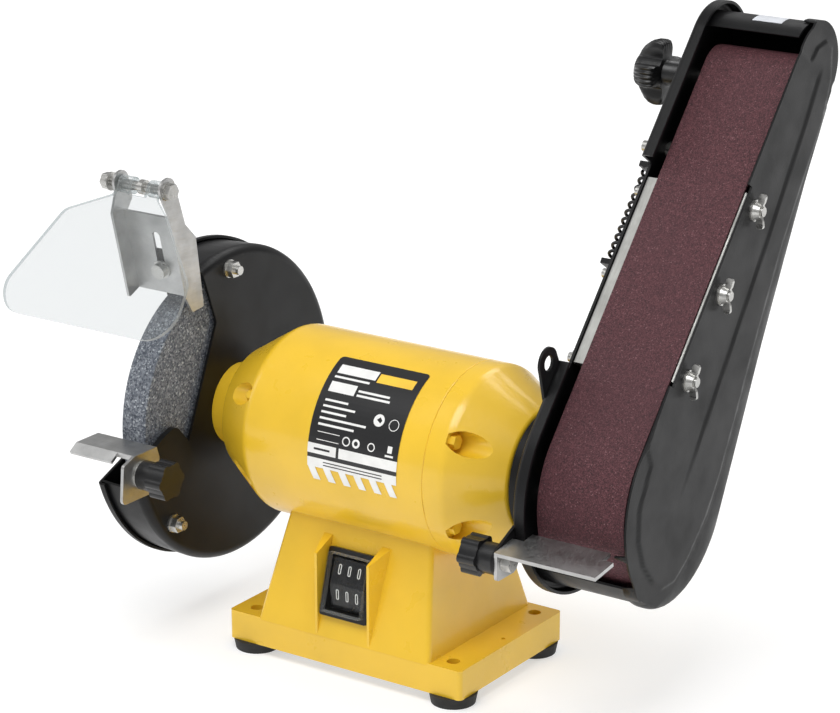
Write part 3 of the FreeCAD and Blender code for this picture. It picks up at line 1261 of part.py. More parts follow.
def make_right_rest_bolt():
    """Hexagonal bolt with its washer, head on the belt side."""
    y, z = rest_bolt_place()
    face = RIGHT_FLANGE_FACE + 0.2
    return fused([ring_x(face, face + 1.0, 4.9, 2.0, y, z), hex_x(face + 1.0, face + 5.0, 8.5, y, z),
                  rod_x(97, face + 2, 2.9, y, z)])


def make_right_knob():
    """Clamping knob of the right rest."""
    y, z = rest_bolt_place()
    return lobed_knob(92.0, PLATE_FACE - 0.2, y, z, 10.5, 6, 8.0, 3.0, 96.0)


# ---------------------------------------------------------------- nodes
def save(node, shape):
    """Writes one node, with a check of its solids."""
    solids = shape.Solids
    valid = shape.isValid() and all(solid.Volume > 0 for solid in solids)
    print(f"{node:24s} solids {len(solids):2d} volume {shape.Volume:12.1f} valid {valid}")
    shape.exportStep(f"parts/{node}.step")


def build():
    """Writes every node of the machine."""
    os.makedirs("parts", exist_ok=True)
    save("base_casting", make_base())
    save("bottom_plate", make_bottom_plate())
    save("base_screws", group([make_bottom_screws(), make_mount_screws()]))
    save("rubber_feet", group([make_foot(x, y) for x, y in bolt_places()]))
    save("cord_gland", make_gland())
    save("run_capacitor", make_capacitor())
    save("capacitor_clip", make_capacitor_clip())
    save("switch_body", make_switch_body())
    save("switch_rocker", make_rocker())
    save("switch_dust_cover", make_dust_cover())
    save("motor_housing", make_motor_housing())
    save("right_end_bell", make_right_bell())
    save("through_bolts", group([make_tie_bolts(), make_tie_nuts()]))
    save("stator_core", make_stator())
    save("stator_windings", make_windings())
    save("rotor_core", make_rotor_core())
    save("shaft", make_shaft())
    save("left_bearing", make_bearing(LEFT_BELL_END + 2))
    save("right_bearing", make_bearing(RIGHT_BELL_END - 2 - BEARING_WIDTH))
    save("rating_label", make_label())
    save("guard_housing", make_guard_housing())
    save("guard_cover", make_guard_cover())
    save("guard_bolts", group([make_guard_bolts(), make_guard_nuts()]))
    save("guard_mount_screws", make_guard_mount_screws())
    save("grinding_wheel", make_wheel())
    save("wheel_blotters", make_blotters())
    save("inner_wheel_flange", make_inner_flange())
    save("outer_wheel_flange", make_outer_flange())
    save("wheel_nut", make_wheel_nut())
    save("shield_bracket", make_shield_bracket())
    save("bracket_screw", make_bracket_screw())
    save("shield_hinge_bolt", group([make_shield_rod(), make_rod_nut()]))
    save("eye_shield", make_eye_shield())
    save("left_rest_arm", make_left_rest_arm())
    save("left_tool_rest", make_left_rest())
    save("left_rest_bolt", group([make_left_rest_bolt(), make_left_washer()]))
    save("left_rest_knob", make_left_knob())
    save("arm_collar", make_collar())
    save("collar_screws", group([make_collar_screws(), make_lock_bolt()]))
    save("arm_retaining_ring", make_retainer())
    save("arm_back_plate", make_back_plate())
    save("arm_wall", make_arm_wall())
    save("arm_outer_cover", make_arm_cover())
    save("platen", make_platen())
    save("platen_studs", group([make_platen_studs(), make_platen_nuts()]))
    save("wing_nuts", group([make_wing_nut(s) for s in STUD_PLACES] + [make_wing_washers()]))
    save("sanding_belt", make_belt())
    save("drive_drum", make_drive_drum())
    save("drum_nut", make_drum_nut())
    save("idler_pulley", make_idler())
    save("idler_bearings", make_idler_bearings())
    save("idler_axle", group([make_idler_axle(), make_axle_clip()]))
    save("tension_slide", make_tension_slide())
    save("slide_guide_bolts", make_guide_bolts())
    save("tension_spring", make_tension_spring())
    save("tracking_knob", make_tracking_knob())
    save("arm_sticker", make_sticker())
    save("right_tool_rest", make_right_rest())
    save("right_rest_bolt", make_right_rest_bolt())
    save("right_rest_knob", make_right_knob())


build()
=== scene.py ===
import json
import math

import bmesh
import bpy
import numpy as np
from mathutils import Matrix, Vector
from mathutils.bvhtree import BVHTree
from mathutils.geometry import delaunay_2d_cdt


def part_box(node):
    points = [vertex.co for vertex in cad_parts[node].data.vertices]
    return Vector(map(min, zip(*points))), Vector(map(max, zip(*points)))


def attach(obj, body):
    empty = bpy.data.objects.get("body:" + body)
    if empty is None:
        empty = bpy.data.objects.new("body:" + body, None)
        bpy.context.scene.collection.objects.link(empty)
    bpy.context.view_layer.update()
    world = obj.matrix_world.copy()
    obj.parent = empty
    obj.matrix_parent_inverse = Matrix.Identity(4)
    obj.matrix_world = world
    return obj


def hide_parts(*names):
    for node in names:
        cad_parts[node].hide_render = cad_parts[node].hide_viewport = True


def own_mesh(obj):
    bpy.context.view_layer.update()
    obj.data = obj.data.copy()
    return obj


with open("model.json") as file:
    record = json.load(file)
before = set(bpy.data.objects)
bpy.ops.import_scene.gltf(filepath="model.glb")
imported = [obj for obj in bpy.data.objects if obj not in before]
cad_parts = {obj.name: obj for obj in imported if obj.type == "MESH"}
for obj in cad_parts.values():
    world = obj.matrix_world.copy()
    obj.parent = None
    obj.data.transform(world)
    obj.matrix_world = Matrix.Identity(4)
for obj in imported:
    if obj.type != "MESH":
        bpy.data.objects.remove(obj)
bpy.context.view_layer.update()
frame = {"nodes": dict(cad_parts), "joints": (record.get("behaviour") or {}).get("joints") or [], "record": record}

NODES = frame["nodes"]
JOINTS = {joint["name"]: joint for joint in frame["joints"]}

# ---------------------------------------------------------------- places on the machine, in metres
SHAFT = Vector(JOINTS["rotor_spin"]["pos_m"])
IDLER = Vector(JOINTS["idler_spin"]["pos_m"])
ARM_UP = Vector((0, IDLER.y - SHAFT.y, IDLER.z - SHAFT.z)).normalized()
ARM_FRONT = Vector((0, -ARM_UP.z, ARM_UP.y))
COVER_SPACING = 0.2398  # from the shaft to the middle of the cover's upper round


def arm_point(x, s, n):
    """Point of the sanding arm at x, s along the arm from the shaft and n towards its working side."""
    return Vector((x, 0, SHAFT.z)) + ARM_UP * s + ARM_FRONT * n


def arm_place(point):
    """(s, n) of a point, the inverse of arm_point."""
    offset = point - Vector((0, 0, SHAFT.z))
    return offset.dot(ARM_UP), offset.dot(ARM_FRONT)


# ---------------------------------------------------------------- materials
class Paint:
    """One node material under construction."""

    def __init__(self, name, color, roughness, metallic=0.0):
        self.material = bpy.data.materials.new(name)
        self.material.use_nodes = True
        self.tree = self.material.node_tree
        self.shader = self.tree.nodes["Principled BSDF"]
        self.shader.inputs["Base Color"].default_value = (*color, 1)
        self.shader.inputs["Roughness"].default_value = roughness
        self.shader.inputs["Metallic"].default_value = metallic
        self.place = self.node("ShaderNodeTexCoord").outputs["Object"]
        self.height = None

    def node(self, kind):
        return self.tree.nodes.new(kind)

    def link(self, source, target):
        self.tree.links.new(source, target)

    def stretched(self, scale):
        """Object coordinates scaled along each axis."""
        mapping = self.node("ShaderNodeMapping")
        mapping.inputs["Scale"].default_value = scale
        self.link(self.place, mapping.inputs["Vector"])
        return mapping.outputs["Vector"]

    def noise(self, scale, detail=3.0, stretch=None, roughness=0.5):
        node = self.node("ShaderNodeTexNoise")
        node.inputs["Scale"].default_value = scale
        node.inputs["Detail"].default_value = detail
        node.inputs["Roughness"].default_value = roughness
        self.link(self.stretched(stretch) if stretch else self.place, node.inputs["Vector"])
        return node.outputs["Fac"]

    def cells(self, scale, output="Color"):
        node = self.node("ShaderNodeTexVoronoi")
        node.inputs["Scale"].default_value = scale
        self.link(self.place, node.inputs["Vector"])
        return node.outputs[output]

    def spread(self, value, low, high, out_low, out_high):
        """Value mapped from low..high to out_low..out_high and clamped."""
        node = self.node("ShaderNodeMapRange")
        node.inputs["From Min"].default_value = low
        node.inputs["From Max"].default_value = high
        node.inputs["To Min"].default_value = out_low
        node.inputs["To Max"].default_value = out_high
        self.link(value, node.inputs["Value"])
        return node.outputs["Result"]

    def ramp(self, value, stops):
        """Colour ramp of (position, colour)."""
        node = self.node("ShaderNodeValToRGB")
        ramp = node.color_ramp
        while len(ramp.elements) < len(stops):
            ramp.elements.new(0.5)
        for element, (position, color) in zip(ramp.elements, stops):
            element.position = position
            element.color = (*color, 1)
        self.link(value, node.inputs["Fac"])
        return node.outputs["Color"]

    def mix(self, factor, a, b):
        """Mix of two colours, each a socket or a tuple."""
        node = self.node("ShaderNodeMix")
        node.data_type = "RGBA"
        self.link(factor, node.inputs["Factor"])
        for socket, value in ((node.inputs["A"], a), (node.inputs["B"], b)):
            for candidate in [s for s in node.inputs if s.name == socket.name and s.type == "RGBA"]:
                if isinstance(value, tuple):
                    candidate.default_value = (*value, 1)
                else:
                    self.link(value, candidate)
        return [s for s in node.outputs if s.type == "RGBA"][0]

    def bump(self, value, distance, strength=1.0):
        """Adds a height to the surface."""
        node = self.node("ShaderNodeBump")
        node.inputs["Distance"].default_value = distance
        node.inputs["Strength"].default_value = strength
        self.link(value, node.inputs["Height"])
        if self.height:
            self.link(self.height, node.inputs["Normal"])
        self.height = node.outputs["Normal"]
        self.link(self.height, self.shader.inputs["Normal"])

    def surface(self, socket):
        """Replaces the shader at the material's end."""
        end = next(node for node in self.tree.nodes if node.type == "OUTPUT_MATERIAL")
        self.link(socket, end.inputs["Surface"])

    def color(self, socket):
        self.link(socket, self.shader.inputs["Base Color"])

    def rough(self, socket):
        self.link(socket, self.shader.inputs["Roughness"])


def shade(color, factor):
    return tuple(min(1.0, channel * factor) for channel in color)


def cast_paint(name, color, roughness, coat):
    """Sprayed enamel on castings: faint orange peel, slow colour drift, a few rubbed spots."""
    paint = Paint(name, color, roughness)
    drift = paint.noise(22, 5)
    paint.color(paint.ramp(drift, [(0.25, shade(color, 0.88)), (0.55, color), (0.8, shade(color, 1.06))]))
    paint.rough(paint.spread(paint.noise(70, 4), 0.3, 0.7, roughness - 0.06, roughness + 0.08))
    paint.bump(paint.noise(650, 2), 0.00012, 0.5)
    paint.bump(paint.noise(45, 2), 0.0005, 0.35)
    paint.shader.inputs["Coat Weight"].default_value = coat
    paint.shader.inputs["Coat Roughness"].default_value = 0.13
    return paint.material


def sheet_paint(name, color, roughness, gloss=0.22):
    """Black powder coat on sheet steel: fine texture and faint handling marks."""
    paint = Paint(name, color, roughness)
    drift = paint.noise(30, 6)
    paint.color(paint.ramp(drift, [(0.3, shade(color, 0.75)), (0.7, shade(color, 1.5))]))
    paint.rough(paint.spread(paint.noise(55, 6), 0.3, 0.7, roughness - 0.07, roughness + 0.10))
    paint.bump(paint.noise(1500, 2), 0.00008, 0.6)
    paint.bump(paint.noise(28, 2), 0.0006, 0.25)
    paint.shader.inputs["Specular IOR Level"].default_value = gloss
    return paint.material


def steel(name, color, roughness, stretch=(60, 900, 900)):
    """Bare or zinc-plated steel with fine directional scratches and cloudy plating."""
    paint = Paint(name, color, roughness, 1.0)
    clouds = paint.noise(85, 5)
    paint.color(paint.ramp(clouds, [(0.3, shade(color, 0.80)), (0.7, shade(color, 1.12))]))
    scratches = paint.noise(1.0, 4, stretch)
    paint.rough(paint.spread(scratches, 0.3, 0.7, roughness - 0.10, roughness + 0.14))
    paint.bump(scratches, 0.00002, 0.5)
    return paint.material


def moulded(name, color, roughness):
    """Moulded plastic or rubber: fine spark-eroded texture."""
    paint = Paint(name, color, roughness)
    paint.color(paint.ramp(paint.noise(60, 4), [(0.3, shade(color, 0.8)), (0.7, shade(color, 1.4))]))
    paint.rough(paint.spread(paint.noise(160, 3), 0.3, 0.7, roughness - 0.06, roughness + 0.08))
    paint.bump(paint.noise(2200, 2), 0.00006, 0.6)
    return paint.material


def wheel_stone(name):
    """Vitrified grey abrasive: packed grains, pores and bright crystals."""
    paint = Paint(name, (0.2, 0.22, 0.26), 0.85)
    grains = paint.cells(1050)
    fine = paint.noise(900, 3)
    body = paint.ramp(grains, [(0.1, (0.055, 0.065, 0.085)), (0.45, (0.15, 0.165, 0.195)),
                               (0.75, (0.25, 0.27, 0.30)), (0.95, (0.50, 0.53, 0.56))])
    pores = paint.spread(fine, 0.28, 0.45, 0.0, 1.0)
    paint.color(paint.mix(pores, (0.05, 0.055, 0.07), body))
    paint.bump(paint.cells(1050, "Distance"), 0.0005, 0.7)
    paint.bump(fine, 0.0004, 0.6)
    return paint.material


def grit_cloth(name):
    """Resin-bonded abrasive cloth: maroon grains on cloth, with glints."""
    paint = Paint(name, (0.095, 0.03, 0.035), 0.75)
    grains = paint.cells(1900)
    drift = paint.noise(16, 5)
    body = paint.ramp(grains, [(0.15, (0.028, 0.006, 0.009)), (0.5, (0.070, 0.017, 0.023)),
                               (0.85, (0.118, 0.036, 0.044)), (1.0, (0.25, 0.13, 0.14))])
    paint.color(paint.mix(paint.spread(drift, 0.3, 0.75, 0.0, 0.35), body, (0.070, 0.024, 0.030)))
    paint.bump(paint.cells(1900, "Distance"), 0.00025, 0.6)
    return paint.material


def clear_plastic(name, tint, least, most):
    """Clear plastic: tinted, with a surface share from least, face on, to most, at a glancing angle."""
    paint = Paint(name, (0.95, 0.97, 0.97), 0.08)
    paint.rough(paint.spread(paint.noise(40, 4), 0.3, 0.7, 0.04, 0.16))
    paint.shader.inputs["IOR"].default_value = 1.46
    through = paint.node("ShaderNodeBsdfTransparent")
    through.inputs["Color"].default_value = (*tint, 1)
    slant = paint.node("ShaderNodeLayerWeight")
    slant.inputs["Blend"].default_value = 0.5
    sheen = paint.node("ShaderNodeMath")
    sheen.operation = "POWER"
    sheen.inputs[1].default_value = 3.0
    paint.link(slant.outputs["Facing"], sheen.inputs[0])
    blend = paint.node("ShaderNodeMixShader")
    amount = paint.spread(sheen.outputs["Value"], 0.0, 1.0, least, most)
    paint.link(amount, blend.inputs["Fac"])
    paint.link(through.outputs["BSDF"], blend.inputs[1])
    paint.link(paint.shader.outputs["BSDF"], blend.inputs[2])
    paint.surface(blend.outputs["Shader"])
    return paint.material


def printed(name, color, roughness):
    """Printed film or paper with faint mottling."""
    paint = Paint(name, color, roughness)
    paint.color(paint.ramp(paint.noise(120, 4), [(0.3, shade(color, 0.92)), (0.7, shade(color, 1.05))]))
    paint.bump(paint.noise(700, 2), 0.00003, 0.4)
    return paint.material


YELLOW = (0.87, 0.545, 0.026)
BLACK = (0.0062, 0.0062, 0.0066)
MATERIALS = {
    "yellow_paint": cast_paint("yellow_enamel", YELLOW, 0.32, 0.45),
    "black_paint": sheet_paint("black_powder_coat", BLACK, 0.36),
    "zinc_steel": steel("zinc_plated_steel", (0.56, 0.555, 0.535), 0.32),
    "bracket_steel": steel("brushed_plate_steel", (0.50, 0.50, 0.495), 0.38, (2500, 120, 2500)),
    "black_oxide": steel("black_oxide_steel", (0.06, 0.06, 0.062), 0.32),
    "bright_steel": steel("ground_steel", (0.72, 0.72, 0.73), 0.18, (900, 100, 100)),
    "lamination_steel": steel("lamination_steel", (0.33, 0.33, 0.34), 0.45, (2500, 60, 60)),
    "copper_wire": steel("enamelled_copper", (0.62, 0.24, 0.09), 0.35, (1600, 200, 200)),
    "cast_aluminium": steel("cast_aluminium", (0.72, 0.73, 0.74), 0.36, (900, 90, 90)),
    "capacitor_can": steel("drawn_aluminium", (0.70, 0.71, 0.72), 0.28, (80, 900, 900)),
    "black_rubber": moulded("black_rubber", (0.018, 0.018, 0.018), 0.72),
    "black_plastic": moulded("black_plastic", (0.0055, 0.0055, 0.006), 0.34),
    "rocker_plastic": moulded("rocker_plastic", (0.011, 0.011, 0.012), 0.24),
    "clear_plastic": clear_plastic("clear_polycarbonate", (0.855, 0.865, 0.868), 0.04, 0.75),
    "abrasive_stone": wheel_stone("vitrified_abrasive"),
    "abrasive_cloth": grit_cloth("abrasive_cloth"),
    "label_film": printed("black_label_film", (0.014, 0.014, 0.015), 0.32),
    "sticker_film": printed("sticker_film", (0.60, 0.62, 0.66), 0.35),
    "paper_disc": printed("blotter_paper", (0.50, 0.46, 0.38), 0.85),
}
WHITE_INK = printed("white_ink", (0.86, 0.86, 0.84), 0.40)
YELLOW_INK = printed("yellow_ink", (0.90, 0.56, 0.05), 0.40)
CUT_EDGE = clear_plastic("clear_cut_edge", (0.60, 0.64, 0.65), 0.20, 0.70)
PLATEN_STEEL = steel("worn_platen_steel", (0.34, 0.34, 0.325), 0.46, (2500, 120, 120))
SOFT_CLEAR = clear_plastic("clear_soft_vinyl", (0.97, 0.975, 0.975), 0.0, 0.55)
# Darker, less glossy copy of the black powder coat: painted shade for the cover's rear shoulder band.
SHADED_BAND_BLACK = sheet_paint("black_powder_coat_painted_shade", (0.0045, 0.0045, 0.005), 0.42, 0.16)

SLOT_OF = {part["node"]: part["material_slot"] for part in frame["record"]["subparts"]}
for node_name, node_object in NODES.items():
    node_object.data.materials.clear()
    node_object.data.materials.append(MATERIALS[SLOT_OF[node_name]])
NODES["switch_dust_cover"].data.materials[0] = SOFT_CLEAR
NODES["platen"].data.materials[0] = PLATEN_STEEL


def mark_cut_edges(data):
    """Gives the narrow faces round a sheet the look of cut plastic."""
    data.materials.append(CUT_EDGE)
    across = max(data.polygons, key=lambda polygon: polygon.area).normal.copy()
    for polygon in data.polygons:
        polygon.material_index = 1 if abs(polygon.normal.dot(across)) < 0.4 else 0


mark_cut_edges(NODES["eye_shield"].data)


# ---------------------------------------------------------------- mesh helpers
def mesh_piece(name, mesh, material, body):
    """Adds a finished bmesh as a piece that rides on a body."""
    data = bpy.data.meshes.new(name)
    mesh.to_mesh(data)
    mesh.free()
    piece = bpy.data.objects.new(name, data)
    bpy.context.scene.collection.objects.link(piece)
    data.materials.append(material)
    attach(piece, body)
    return piece


def smooth(piece, degrees):
    """Smooth shading, with edges sharper than the angle kept crisp."""
    for polygon in piece.data.polygons:
        polygon.use_smooth = True
    piece.data.set_sharp_from_angle(angle=math.radians(degrees))


# ---------------------------------------------------------------- rating label
LABEL_LOW, LABEL_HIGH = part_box("rating_label")
LABEL_TOP_ANGLE = 67.3
LABEL_END_ANGLE = -11.0
BARREL_SURFACE = 0.0520
FILM_LIFT, INK_LIFT = 0.00022, 0.00027


def barrel_point(x, angle, lift):
    """Point over the barrel at an angle above the horizontal on the front side."""
    radius = BARREL_SURFACE + lift
    turn = math.radians(angle)
    return Vector((x, -radius * math.cos(turn), SHAFT.z + radius * math.sin(turn)))


def label_x(share):
    return LABEL_LOW.x + share * (LABEL_HIGH.x - LABEL_LOW.x)


def label_bar(mesh, left, right, top, bottom, slant=0.0, lift=INK_LIFT):
    """Rectangle between two shares of the label's width and two angles; slant shifts its lower edge."""
    columns = max(1, int((right - left) * 12))
    rows = max(1, int((top - bottom) / 2.5))
    grid = []
    for row in range(rows + 1):
        part = row / rows
        angle = top + (bottom - top) * part
        line = []
        for column in range(columns + 1):
            share = left + (right - left) * column / columns + slant * part
            line.append(mesh.verts.new(barrel_point(label_x(share), angle, lift)))
        grid.append(line)
    for upper, lower in zip(grid, grid[1:]):
        for a, b, c, d in zip(lower, lower[1:], upper[1:], upper):
            mesh.faces.new((a, b, c, d))


def label_ring(mesh, share, angle, outer, inner):
    """Flat ring, or a disc when inner is 0, with radii in metres."""
    steps = 28
    middle = label_x(share)
    rims = []
    for radius in (outer, inner) if inner else (outer,):
        rim = []
        for step in range(steps):
            turn = 2 * math.pi * step / steps
            rise = math.degrees(radius * math.sin(turn) / BARREL_SURFACE)
            place = barrel_point(middle + radius * math.cos(turn), angle + rise, INK_LIFT)
            rim.append(mesh.verts.new(place))
        rims.append(rim)
    if inner:
        for step in range(steps):
            after = (step + 1) % steps
            mesh.faces.new((rims[0][step], rims[0][after], rims[1][after], rims[1][step]))
    else:
        mesh.faces.new(rims[0])


def rounded_film(mesh):
    """Black film with two rounded upper corners, down to the white rows."""
    corner, low_angle = 0.0022, 10.8
    columns, rows = 24, 24
    grid = []
    for row in range(rows + 1):
        angle = LABEL_TOP_ANGLE + (low_angle - LABEL_TOP_ANGLE) * (row / rows) ** 1.6
        depth = math.radians(LABEL_TOP_ANGLE - angle) * BARREL_SURFACE
        pull = corner - math.sqrt(max(0.0, corner ** 2 - (corner - depth) ** 2)) if depth < corner else 0.0
        left, right = LABEL_LOW.x + pull, LABEL_HIGH.x - pull
        grid.append([mesh.verts.new(barrel_point(left + (right - left) * c / columns, angle, FILM_LIFT))
                     for c in range(columns + 1)])
    for upper, lower in zip(grid, grid[1:]):
        for a, b, c, d in zip(lower, lower[1:], upper[1:], upper):
            mesh.faces.new((a, b, c, d))


def make_label():
    """Film, plain bars, dots and stripes in place of the printed words and marks."""
    film = bmesh.new()
    rounded_film(film)
    label_bar(film, 0.0, 1.0, 4.9, 2.4, lift=FILM_LIFT)
    label_bar(film, 0.32, 0.35, 10.8, 4.9, lift=FILM_LIFT)
    film_piece = mesh_piece("label_film", film, MATERIALS["label_film"], "stand")
    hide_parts("rating_label")
    white = bmesh.new()
    label_bar(white, 0.07, 0.50, 61.0, 54.5)
    label_bar(white, 0.07, 0.46, 52.6, 51.2)
    label_bar(white, 0.07, 0.36, 48.6, 42.0)
    label_bar(white, 0.39, 0.74, 46.4, 45.0)
    label_bar(white, 0.39, 0.76, 43.6, 42.2)
    for row, length in enumerate((0.26, 0.36, 0.28, 0.52, 0.40)):
        label_bar(white, 0.08, 0.08 + length, 37.4 - row * 3.6, 36.1 - row * 3.6)
    label_ring(white, 0.72, 31.5, 0.0033, 0.0)
    label_ring(white, 0.89, 30.5, 0.0031, 0.0027)
    label_ring(white, 0.42, 15.6, 0.0025, 0.0018)
    label_ring(white, 0.53, 15.6, 0.0024, 0.0012)
    label_ring(white, 0.70, 15.6, 0.0023, 0.0017)
    for top, bottom in ((18.2, 17.8), (13.6, 13.2)):
        label_bar(white, 0.09, 0.34, top, bottom)
    label_bar(white, 0.86, 0.95, 13.4, 12.2)
    label_bar(white, 0.88, 0.93, 18.6, 14.6)
    label_bar(white, 0.0, 0.32, 10.8, 4.9)
    label_bar(white, 0.35, 1.0, 10.8, 4.9)
    label_bar(white, 0.0, 1.0, 2.4, -3.2)
    for stripe in range(6):
        label_bar(white, 0.005 + stripe * 0.172, 0.085 + stripe * 0.172, -3.2, LABEL_END_ANGLE, 0.055)
    mesh_piece("label_white_print", white, WHITE_INK, "stand")
    yellow = bmesh.new()
    label_bar(yellow, 0.52, 0.92, 60.0, 53.5)
    mesh_piece("label_yellow_print", yellow, YELLOW_INK, "stand")
    dark = bmesh.new()
    label_bar(dark, 0.07, 0.25, 8.4, 7.2, lift=INK_LIFT + 0.00004)
    for top, bottom in ((0.9, 0.3), (-0.9, -1.5)):
        label_bar(dark, 0.18, 0.84, top, bottom, lift=INK_LIFT + 0.00004)
    mesh_piece("label_black_print", dark, MATERIALS["label_film"], "stand")


make_label()


# ---------------------------------------------------------------- switch marks
MARK_COLUMN = 0.0062
MARK_ROW = 0.0068
MARK_LIFT = 0.00008
RAY_START = 0.03


def make_switch_marks():
    """Two rows of three upright marks moulded on the rocker's face."""
    low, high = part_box("switch_rocker")
    tree = BVHTree.FromObject(NODES["switch_rocker"], bpy.context.evaluated_depsgraph_get())
    inward = Vector((0, 0.94, -0.34)).normalized()
    up = Vector((0, 0.34, 0.94)).normalized()
    middle = (low + high) / 2
    marks = bmesh.new()
    outer, inner, half = 0.00095, 0.00045, 0.0028
    steps = 20
    for row in (-1, 1):
        for column in (-1, 0, 1):
            centre = middle + Vector((column * MARK_COLUMN, 0, 0)) + up * (row * MARK_ROW)
            rims = []
            for radius, reach in ((outer, half), (inner, half - 0.0005)):
                rim = []
                for step in range(steps):
                    turn = 2 * math.pi * step / steps
                    rise = math.sin(turn) * radius + math.copysign(reach - radius, math.sin(turn))
                    start = centre + Vector((math.cos(turn) * radius, 0, 0)) + up * rise - inward * RAY_START
                    hit = tree.ray_cast(start, inward)[0]
                    rim.append(marks.verts.new((hit or start + inward * RAY_START) - inward * MARK_LIFT))
                rims.append(rim)
            for step in range(steps):
                after = (step + 1) % steps
                marks.faces.new((rims[0][step], rims[0][after], rims[1][after], rims[1][step]))
    mesh_piece("switch_marks", marks, WHITE_INK, "switch_rocker_body")


make_switch_marks()


# ---------------------------------------------------------------- tracking knob
KNOB_CORE = 0.0094
KNOB_RIDGE = 0.0009


def make_tracking_knob():
    """Domed knob with four ridged lobes on a plain collar, bored for its screw."""
    low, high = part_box("tracking_knob")
    place = Vector(JOINTS["tracking_knob_turn"]["pos_m"])
    core, ridge_depth, fade = KNOB_CORE, KNOB_RIDGE, 0.003
    hub = high.x - low.x
    profile = [(0.0, 0.0015), (0.0, 0.0062), (0.0006, 0.0084), (0.0024, 0.0116), (0.0050, 0.0147),
               (0.0078, 0.0167), (0.0106, 0.0176), (0.0134, 0.0177), (0.0154, 0.0171), (0.0163, 0.0158),
               (0.0163, 0.0092), (0.0167, 0.0070), (0.0172, 0.0067), (hub - 0.0004, 0.0067), (hub, 0.0064),
               (hub, 0.0041), (0.0186, 0.0041), (0.0186, 0.0005)]
    steps, ridges = 352, 44
    knob = bmesh.new()
    rings = []
    for x, radius in profile:
        ring = []
        for step in range(steps):
            turn = 2 * math.pi * step / steps
            lobe = min(1.0, max(0.0, (math.cos(4 * turn) + 0.62) / 0.9))
            lobe = lobe * lobe * (3 - 2 * lobe)
            here = radius
            if radius > core:
                here = core + (radius - core) * lobe
                wave = 0.5 - 0.5 * math.cos(ridges * turn)
                here -= ridge_depth * wave * lobe * min(1.0, (radius - core) / fade)
            spot = (low.x + x, place.y + here * math.sin(turn), place.z + here * math.cos(turn))
            ring.append(knob.verts.new(spot))
        rings.append(ring)
    for before, after in zip(rings, rings[1:]):
        for step in range(steps):
            follow = (step + 1) % steps
            knob.faces.new((before[step], after[step], after[follow], before[follow]))
    knob.faces.new(rings[0])
    knob.faces.new(rings[-1])
    bmesh.ops.recalc_face_normals(knob, faces=knob.faces)
    piece = mesh_piece("tracking_star_knob", knob, MATERIALS["black_plastic"], "tracking_screw")
    smooth(piece, 40)
    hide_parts("tracking_knob")


make_tracking_knob()


def make_spring():
    """Coil spring for the tension slide, copied from the part and carried rigidly on the sanding arm."""
    coil = bmesh.new()
    coil.from_mesh(NODES["tension_spring"].data)
    coil.transform(NODES["tension_spring"].matrix_world)
    piece = mesh_piece("tension_coil", coil, MATERIALS["black_oxide"], "sanding_arm")
    smooth(piece, 40)
    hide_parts("tension_spring")
    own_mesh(piece)


make_spring()

# ---------------------------------------------------------------- outer cover of the sanding arm
COVER_X = 0.1731
FRONT_LOW, FRONT_HIGH = 0.0520, 0.0213
REAR_LOW, REAR_HIGH = 0.0548, 0.0234
BELT_LOW, BELT_HIGH = 0.0485, 0.01697
NOTCH_LOW, NOTCH_HIGH = 0.048, 0.161
PANEL_RISE = 0.0008
CREASE = ((-0.060, 0.0025), (-0.002, 0.0025), (0.045, 0.0), (0.148, -0.0045), (0.208, -0.0056),
          (0.238, -0.005), (0.260, -0.005))
PANEL_EDGE = ((0.239, 0.0087), (0.247, 0.007), (0.2545, -0.0007), (0.254, -0.009), (0.2395, -0.0186),
              (0.219, -0.0232), (0.150, -0.0215), (0.087, -0.026), (0.061, -0.029), (0.026, -0.032),
              (0.003, -0.0315), (-0.022, -0.026), (-0.036, -0.0195), (-0.043, -0.009), (-0.043, 0.002),
              (-0.038, 0.018), (-0.029, 0.030), (-0.015, 0.039), (0.008, 0.0415), (0.020, 0.060),
              (0.200, 0.060), (0.239, 0.030))
BAND_EDGE = ((-0.0538, 0.008), (-0.052, -0.011), (-0.042, -0.021), (-0.026, -0.028), (0.003, -0.035),
             (0.026, -0.035), (0.061, -0.032), (0.087, -0.029), (0.120, -0.0262), (0.150, -0.0242),
             (0.185, -0.0232), (0.212, -0.0245), (0.240, -0.0236), (0.300, -0.024), (0.300, 0.090),
             (-0.090, 0.090), (-0.090, 0.008))
BAND_INSET = 0.0003
GRID = 0.0013
RIM_X = 0.1655
RIM_TURN = 0.0012
SHEET = 0.0010


def taper(low, high):
    return math.asin((low - high) / COVER_SPACING)


def side_line(s, low, high):
    """n of the working side of a belt-shaped outline at s."""
    angle = taper(low, high)
    return (low - s * math.sin(angle)) / math.cos(angle)


def ease(value):
    value = np.clip(value, 0, 1)
    return value * value * (3 - 2 * value)


